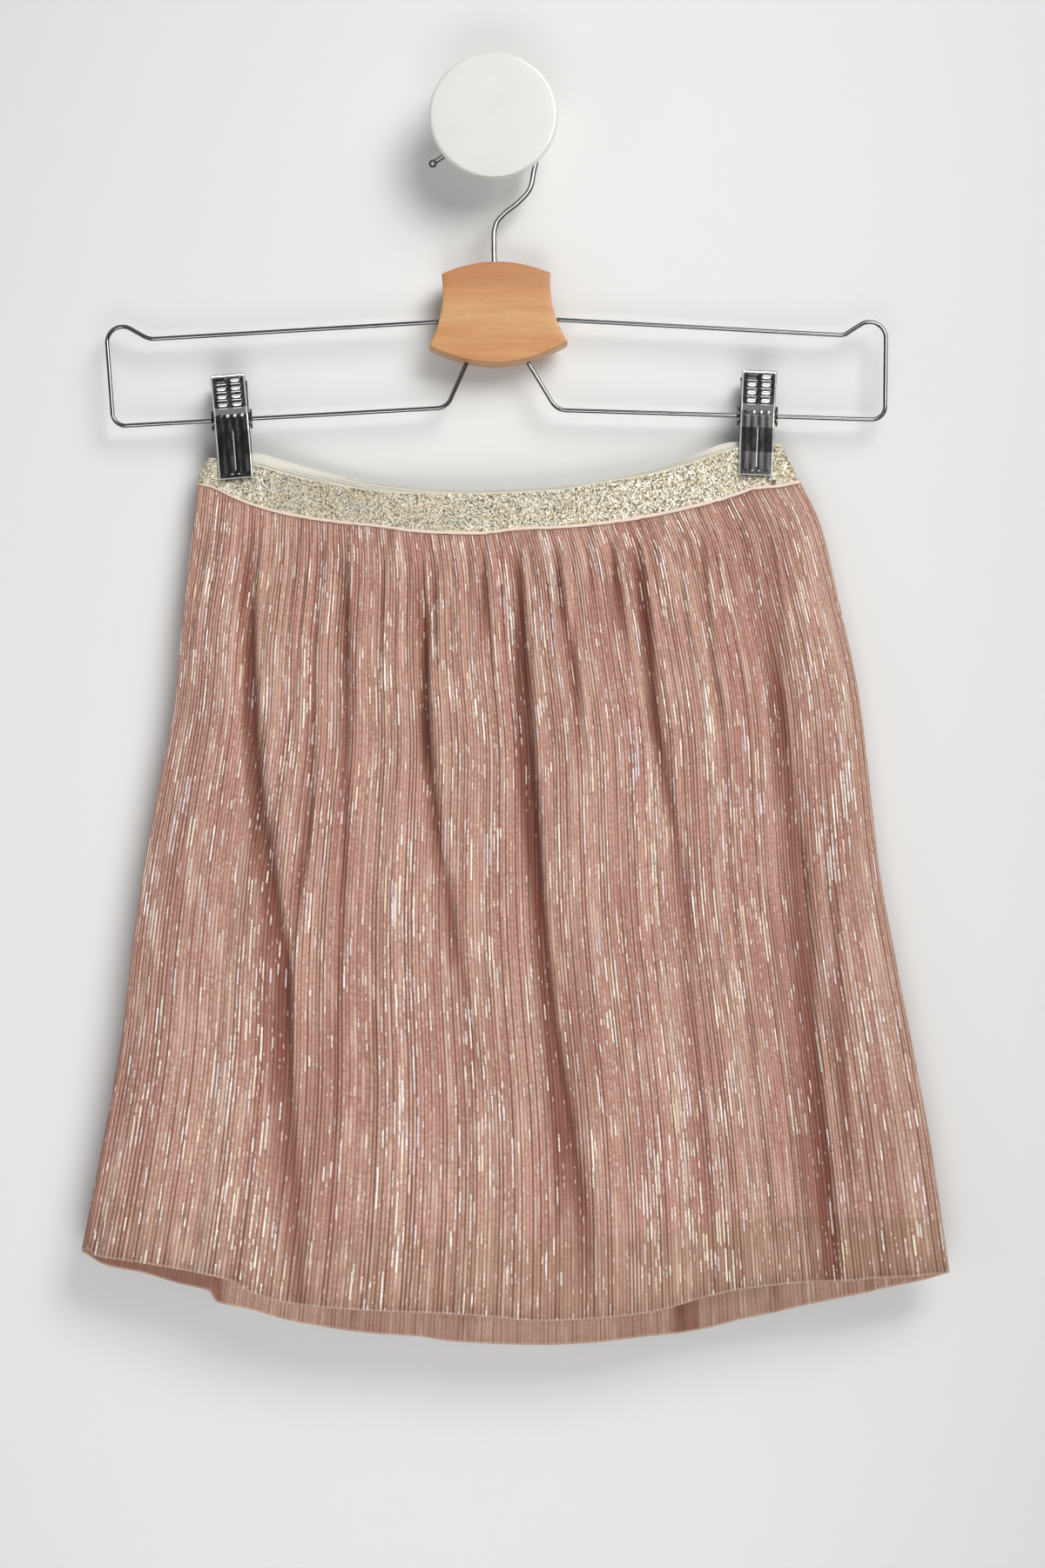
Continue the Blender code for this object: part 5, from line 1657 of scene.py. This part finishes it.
    def _plate(self, side: Side, materials: Sequence[Material]) -> Thing:
        """One plate, pressed on its outer face."""
        label = HALVES[side].label
        at, out = np.array(self.profile[::-1]).T
        heights = np.unique(np.concatenate([np.linspace(19.0, -28.2, 190), at]))[::-1]
        edge = np.array([0.0, 0.08, 0.18, 0.28, 0.42, 0.56, 0.68, 0.85, 1.1])
        half = self.width / 2
        t = np.concatenate([-half + edge, np.linspace(-half + 1.4, half - 1.4, 46), half - edge[::-1]])
        t, height = np.meshgrid(t, heights)
        inner = np.interp(height, at, out)
        # The painted highlights go to the face's material through a UV layer
        relief, bright = self._relief(t, height)
        flange = 1.3 * ease(-16.0, -8.0, height) * (np.abs(t) > half - 0.9)
        piece = Maker.shell(
            f"{self.name}_{label}",
            self._at(t, side.value * (inner + self.plate + relief), height),
            self._at(t, side.value * (inner - flange), height),
            {"clip_highlight": (bright, np.zeros_like(bright))},
            materials,
            sharp=42.0,
            flipped=side is Side.BACK,
        )
        return hand_over(piece, f"{self.node}_{label}_plate")

    def _barrel(self, plain: Material) -> Thing:
        """The barrel, with a rounded ear at each end."""
        half = self.barrel_length / 2
        wide, thick, round_by = self.ear_radius, self.ear_thickness, 0.2
        rim = wide - 2.0 * round_by
        ear = [(rim, 0.0), (wide, round_by), (wide, thick - round_by), (rim, thick)]
        ear.append((self.barrel_radius, thick))
        profile = [(r, -half + t) for r, t in ear] + [(r, half - t) for r, t in reversed(ear)]
        sides = self.barrel_sides
        angles = np.linspace(0.0, 2.0 * math.pi, sides, endpoint=False)
        out, up = np.sin(angles), np.cos(angles)
        squash = self.barrel_flatness
        outer = np.array([self._at(np.full(sides, t), r * out * squash, r * up, False) for r, t in profile])
        bored = [self._at(np.full(sides, t), self.bore * out, self.bore * up, False) for _, t in profile]
        inner = np.array(bored)
        flat = np.zeros((len(profile), sides + 1))
        piece = Maker.shell(f"{self.name}_pivot", outer, inner, {"clip_highlight": (flat, flat)}, (plain,), True, 40.0)
        return hand_over(piece, f"{self.node}_barrel")


@dataclass
class WallHook:
    """The round disc, its stem and its wall plate."""

    disc_radius: float = 29.2
    disc_front: float = -35.4
    disc_thickness: float = 5.0
    disc_edge: float = 1.6
    stem_radius: float = 4.7
    stem_shoulder: float = 7.5
    plate_radius: float = 13.0
    plate_thickness: float = 3.0
    sides: int = 120

    def build(self, white: Material) -> list[Thing]:
        """Make the wall hook from its one material."""
        back = self.disc_front + self.disc_thickness
        disc = [(8.0, back), (self.disc_radius - 4.0, back)]
        for centre, first in ((back - self.disc_edge, 90), (self.disc_front + self.disc_edge, 0)):
            for degrees in range(first, first - 91, -10):
                angle = math.radians(degrees)
                radius = self.disc_radius - self.disc_edge + self.disc_edge * math.cos(angle)
                disc.append((radius, centre + self.disc_edge * math.sin(angle)))
        disc += [(self.disc_radius - 5.0, self.disc_front - 0.05), (12.0, self.disc_front - 0.08)]
        start = -self.plate_thickness - GAP
        end = back + GAP
        wider = self.stem_shoulder - self.stem_radius
        flare = [(self.stem_radius + wider * (1.0 - s) ** 2, 0.4 + 2.2 * s) for s in np.linspace(0.0, 1.0, 7)]
        flare.insert(0, (self.stem_shoulder, 0.0))
        stem = [(radius, start - y) for radius, y in flare]
        stem += [(radius, end + y) for radius, y in reversed(flare)]
        inside = self.plate_radius - 1.0
        plate = [(self.plate_radius, 0.0)]
        for angle in (math.radians(degrees) for degrees in range(0, 91, 15)):
            plate.append((inside + math.cos(angle), -self.plate_thickness + 1.0 - math.sin(angle)))
        return [
            self._turned("white_disc", "hook_disc", disc, white),
            self._turned("white_stem", "hook_stem", stem, white),
            self._turned("white_wall_plate", "hook_wall_plate", plate, white),
        ]

    def _turned(self, name: str, node: str, profile: Sequence[tuple[float, float]], white: Material) -> Thing:
        """A solid turned about Y from (radius, y) points, from the wall side to the front."""
        angles = np.linspace(0.0, 2.0 * math.pi, self.sides, endpoint=False)
        circle = np.stack([np.cos(angles), np.zeros(self.sides), np.sin(angles)], axis=1)
        rings = [circle * radius + (0.0, y, 0.0) for radius, y in profile]
        return hand_over(Maker.rings(name, rings, white, 35.0), node)


@dataclass
class Studio:
    """The pale wall and floor, the lights and the camera."""

    camera_place: tuple[float, float, float] = (0.01311, -1.80243, -0.50534)
    camera_pitch: float = 6.5
    lens: float = 92.31
    floor_z: float = -1.35
    wall_y: float = 0.0012
    wall_top: float = 2.2
    half_width: float = 3.0
    depth: float = 4.0
    wall_grey: float = 0.80

    def build(self) -> None:
        """Make the stage, the lights and the camera."""
        self._wall()
        self._floor()
        bpy.context.scene.view_settings.view_transform = "Standard"
        self._lamp("key", (0.56, -1.20, 0.55), (-0.02, 0.0, 0.03), 0.9, 62.0, 2.95, (1.0, 0.99, 0.97))
        self._lamp("fill", (-1.8, -1.6, -0.45), (0.0, 0.0, -0.4), 0.9, 180.0, 3.2, (0.97, 0.985, 1.0))
        self._lamp("low", (0.05, -1.05, -1.05), (0.0, 0.0, -0.64), 0.8, 72.0, 1.95, (1.0, 1.0, 1.0))
        self._world()
        self._camera()

    @staticmethod
    def _plane(name: str, corners: Sequence[Point], material: Material) -> None:
        """One flat sheet of the stage."""
        data = bpy.data.meshes.new(name)
        data.from_pydata(corners, [], [(0, 1, 2, 3)])
        data.materials.append(material)
        into_scene(name, data)

    def _wall(self) -> None:
        """The wall, seen only from its front."""
        shade = Shader("wall_paint", 0.9)
        shade.to("Base Color", (self.wall_grey, self.wall_grey, self.wall_grey * 0.995))
        behind = shade.node("ShaderNodeNewGeometry", None, None, "Backfacing")
        clear = shade.node("ShaderNodeBsdfTransparent")
        surface = Signal(shade, shade.surface.outputs[0])
        both = shade.node("ShaderNodeMixShader", None, {0: behind, 1: surface, 2: clear})
        shade.feed(shade.tree.nodes["Material Output"].inputs["Surface"], both)
        y, foot, top, side = self.wall_y, self.floor_z, self.wall_top, self.half_width
        corners = ((-side, y, foot), (side, y, foot), (side, y, top), (-side, y, top))
        self._plane("wall", corners, shade.material)

    def _floor(self) -> None:
        """The floor, well below the camera's view."""
        shade = Shader("floor_paint", 0.85)
        shade.to("Base Color", (0.78, 0.78, 0.77))
        z, side, near = self.floor_z, self.half_width, -self.depth
        corners = ((-side, near, z), (side, near, z), (side, side, z), (-side, side, z))
        self._plane("floor", corners, shade.material)

    @staticmethod
    def _lamp(
        name: str, place: Point, target: Point, size: float, spread: float, power: float, colour: Colour
    ) -> None:
        """A square soft light.

        Args:
            name: The light's name.
            place: Where it is, in metres.
            target: What it points at.
            size: Its side, in metres.
            spread: Angle that its light fills, in degrees.
            power: Its power, in watts.
            colour: Its colour.
        """
        lamp = bpy.data.lights.new(name, "AREA")
        lamp.size = size
        lamp.energy = power
        lamp.spread = math.radians(spread)
        lamp.color = colour
        light = into_scene(name, lamp)
        light.location = place
        light.rotation_euler = (Vector(target) - Vector(place)).to_track_quat("-Z", "Y").to_euler()

    def _world(self) -> None:
        """Pale light from above and below, with a darker band round the horizon for the plating to show."""
        world = bpy.data.worlds.new("studio")
        world.use_nodes = True
        nodes = world.node_tree.nodes
        around = nodes.new("ShaderNodeTexCoord")
        apart = nodes.new("ShaderNodeSeparateXYZ")
        ramp = nodes.new("ShaderNodeValToRGB")
        height = nodes.new("ShaderNodeMapRange")
        height.inputs["From Min"].default_value = -1.0
        levels = ((0.0, 0.40), (0.36, 0.45), (0.47, 0.20), (0.6375, 0.20), (0.6405, 1.0), (1.0, 1.0))
        set_stops(ramp, [(place, (level * 0.98, level * 0.99, level)) for place, level in levels])
        links = world.node_tree.links
        links.new(around.outputs["Generated"], apart.inputs[0])
        links.new(apart.outputs[2], height.inputs["Value"])
        links.new(height.outputs[0], ramp.inputs[0])
        links.new(ramp.outputs[0], nodes["Background"].inputs["Color"])
        nodes["Background"].inputs["Strength"].default_value = 0.29
        bpy.context.scene.world = world

    def _camera(self) -> None:
        """The camera, a little below the skirt's middle and looking slightly up."""
        data = bpy.data.cameras.new("camera")
        data.lens = self.lens
        data.sensor_width = 36.0
        data.sensor_fit = "AUTO"
        camera = into_scene("camera", data)
        camera.location = self.camera_place
        camera.rotation_euler = (math.radians(90.0 + self.camera_pitch), 0.0, 0.0)
        bpy.context.scene.camera = camera


def main() -> None:
    """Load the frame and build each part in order."""
    logging.basicConfig(level=logging.INFO, format="%(message)s")
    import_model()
    form = SkirtForm()
    knit = FoilKnit().material("foil_knit")
    # Inner faces: knit without foil, lighter than the outer knit partly as painted light against the front
    # panel's shade
    knit_inside = FoilKnit(
        ridge=tone(228, 188, 168),
        rosy=tone(221, 176, 158),
        sandy=tone(224, 192, 168),
        groove=tone(162, 112, 96),
        deep=tone(142, 88, 70),
        foil=False,
    ).material("foil_knit_inside")
    lining = WovenLining().material("lining_cloth")
    elastic = LurexElastic()
    for side, gathers in ((Side.FRONT, 28), (Side.BACK, 21)):
        SkirtPanel(side, form, gathers).build(knit, knit_inside)
    for side in Side:
        LiningPanel(side, form).build(lining)
    Waistband(form).build(elastic.material("lurex_elastic"), elastic.lining_face("elastic_inside"))
    plating = Plated((0.13, 0.129, 0.126), 0.07, (0.08, 0.079, 0.077))
    hanger = Hanger()
    # Each wire's number is the share of its painted highlight
    hanger.build(
        VarnishedWood().material("varnished_wood"),
        plating.wire("loop_plating", 0.22),
        plating.wire("hook_plating", 0.9),
    )
    dark = Plated((0.075, 0.074, 0.072), 0.26, (0.14, 0.138, 0.135))
    clip_face = dark.ridged("clip_face")
    clip_plain = Plated((0.42, 0.42, 0.41), 0.2, (0.30, 0.30, 0.30)).material("clip_plain")
    clip_inner = Plated((0.10, 0.10, 0.10), 0.25, (0.06, 0.06, 0.06)).material("clip_inner")
    for label, loop, x, lean in (("left", hanger.left, -118.4, 1.6), ("right", hanger.right, 119.3, -0.6)):
        clip = Clip(f"clip_jaw_{label}", f"clip_{label}", loop, x, lean=lean)
        clip.build(clip_face, clip_plain, clip_inner)
    WallHook().build(GlossWhite().material("gloss_white"))
    Studio().build()


if __name__ == "__main__":
    main()
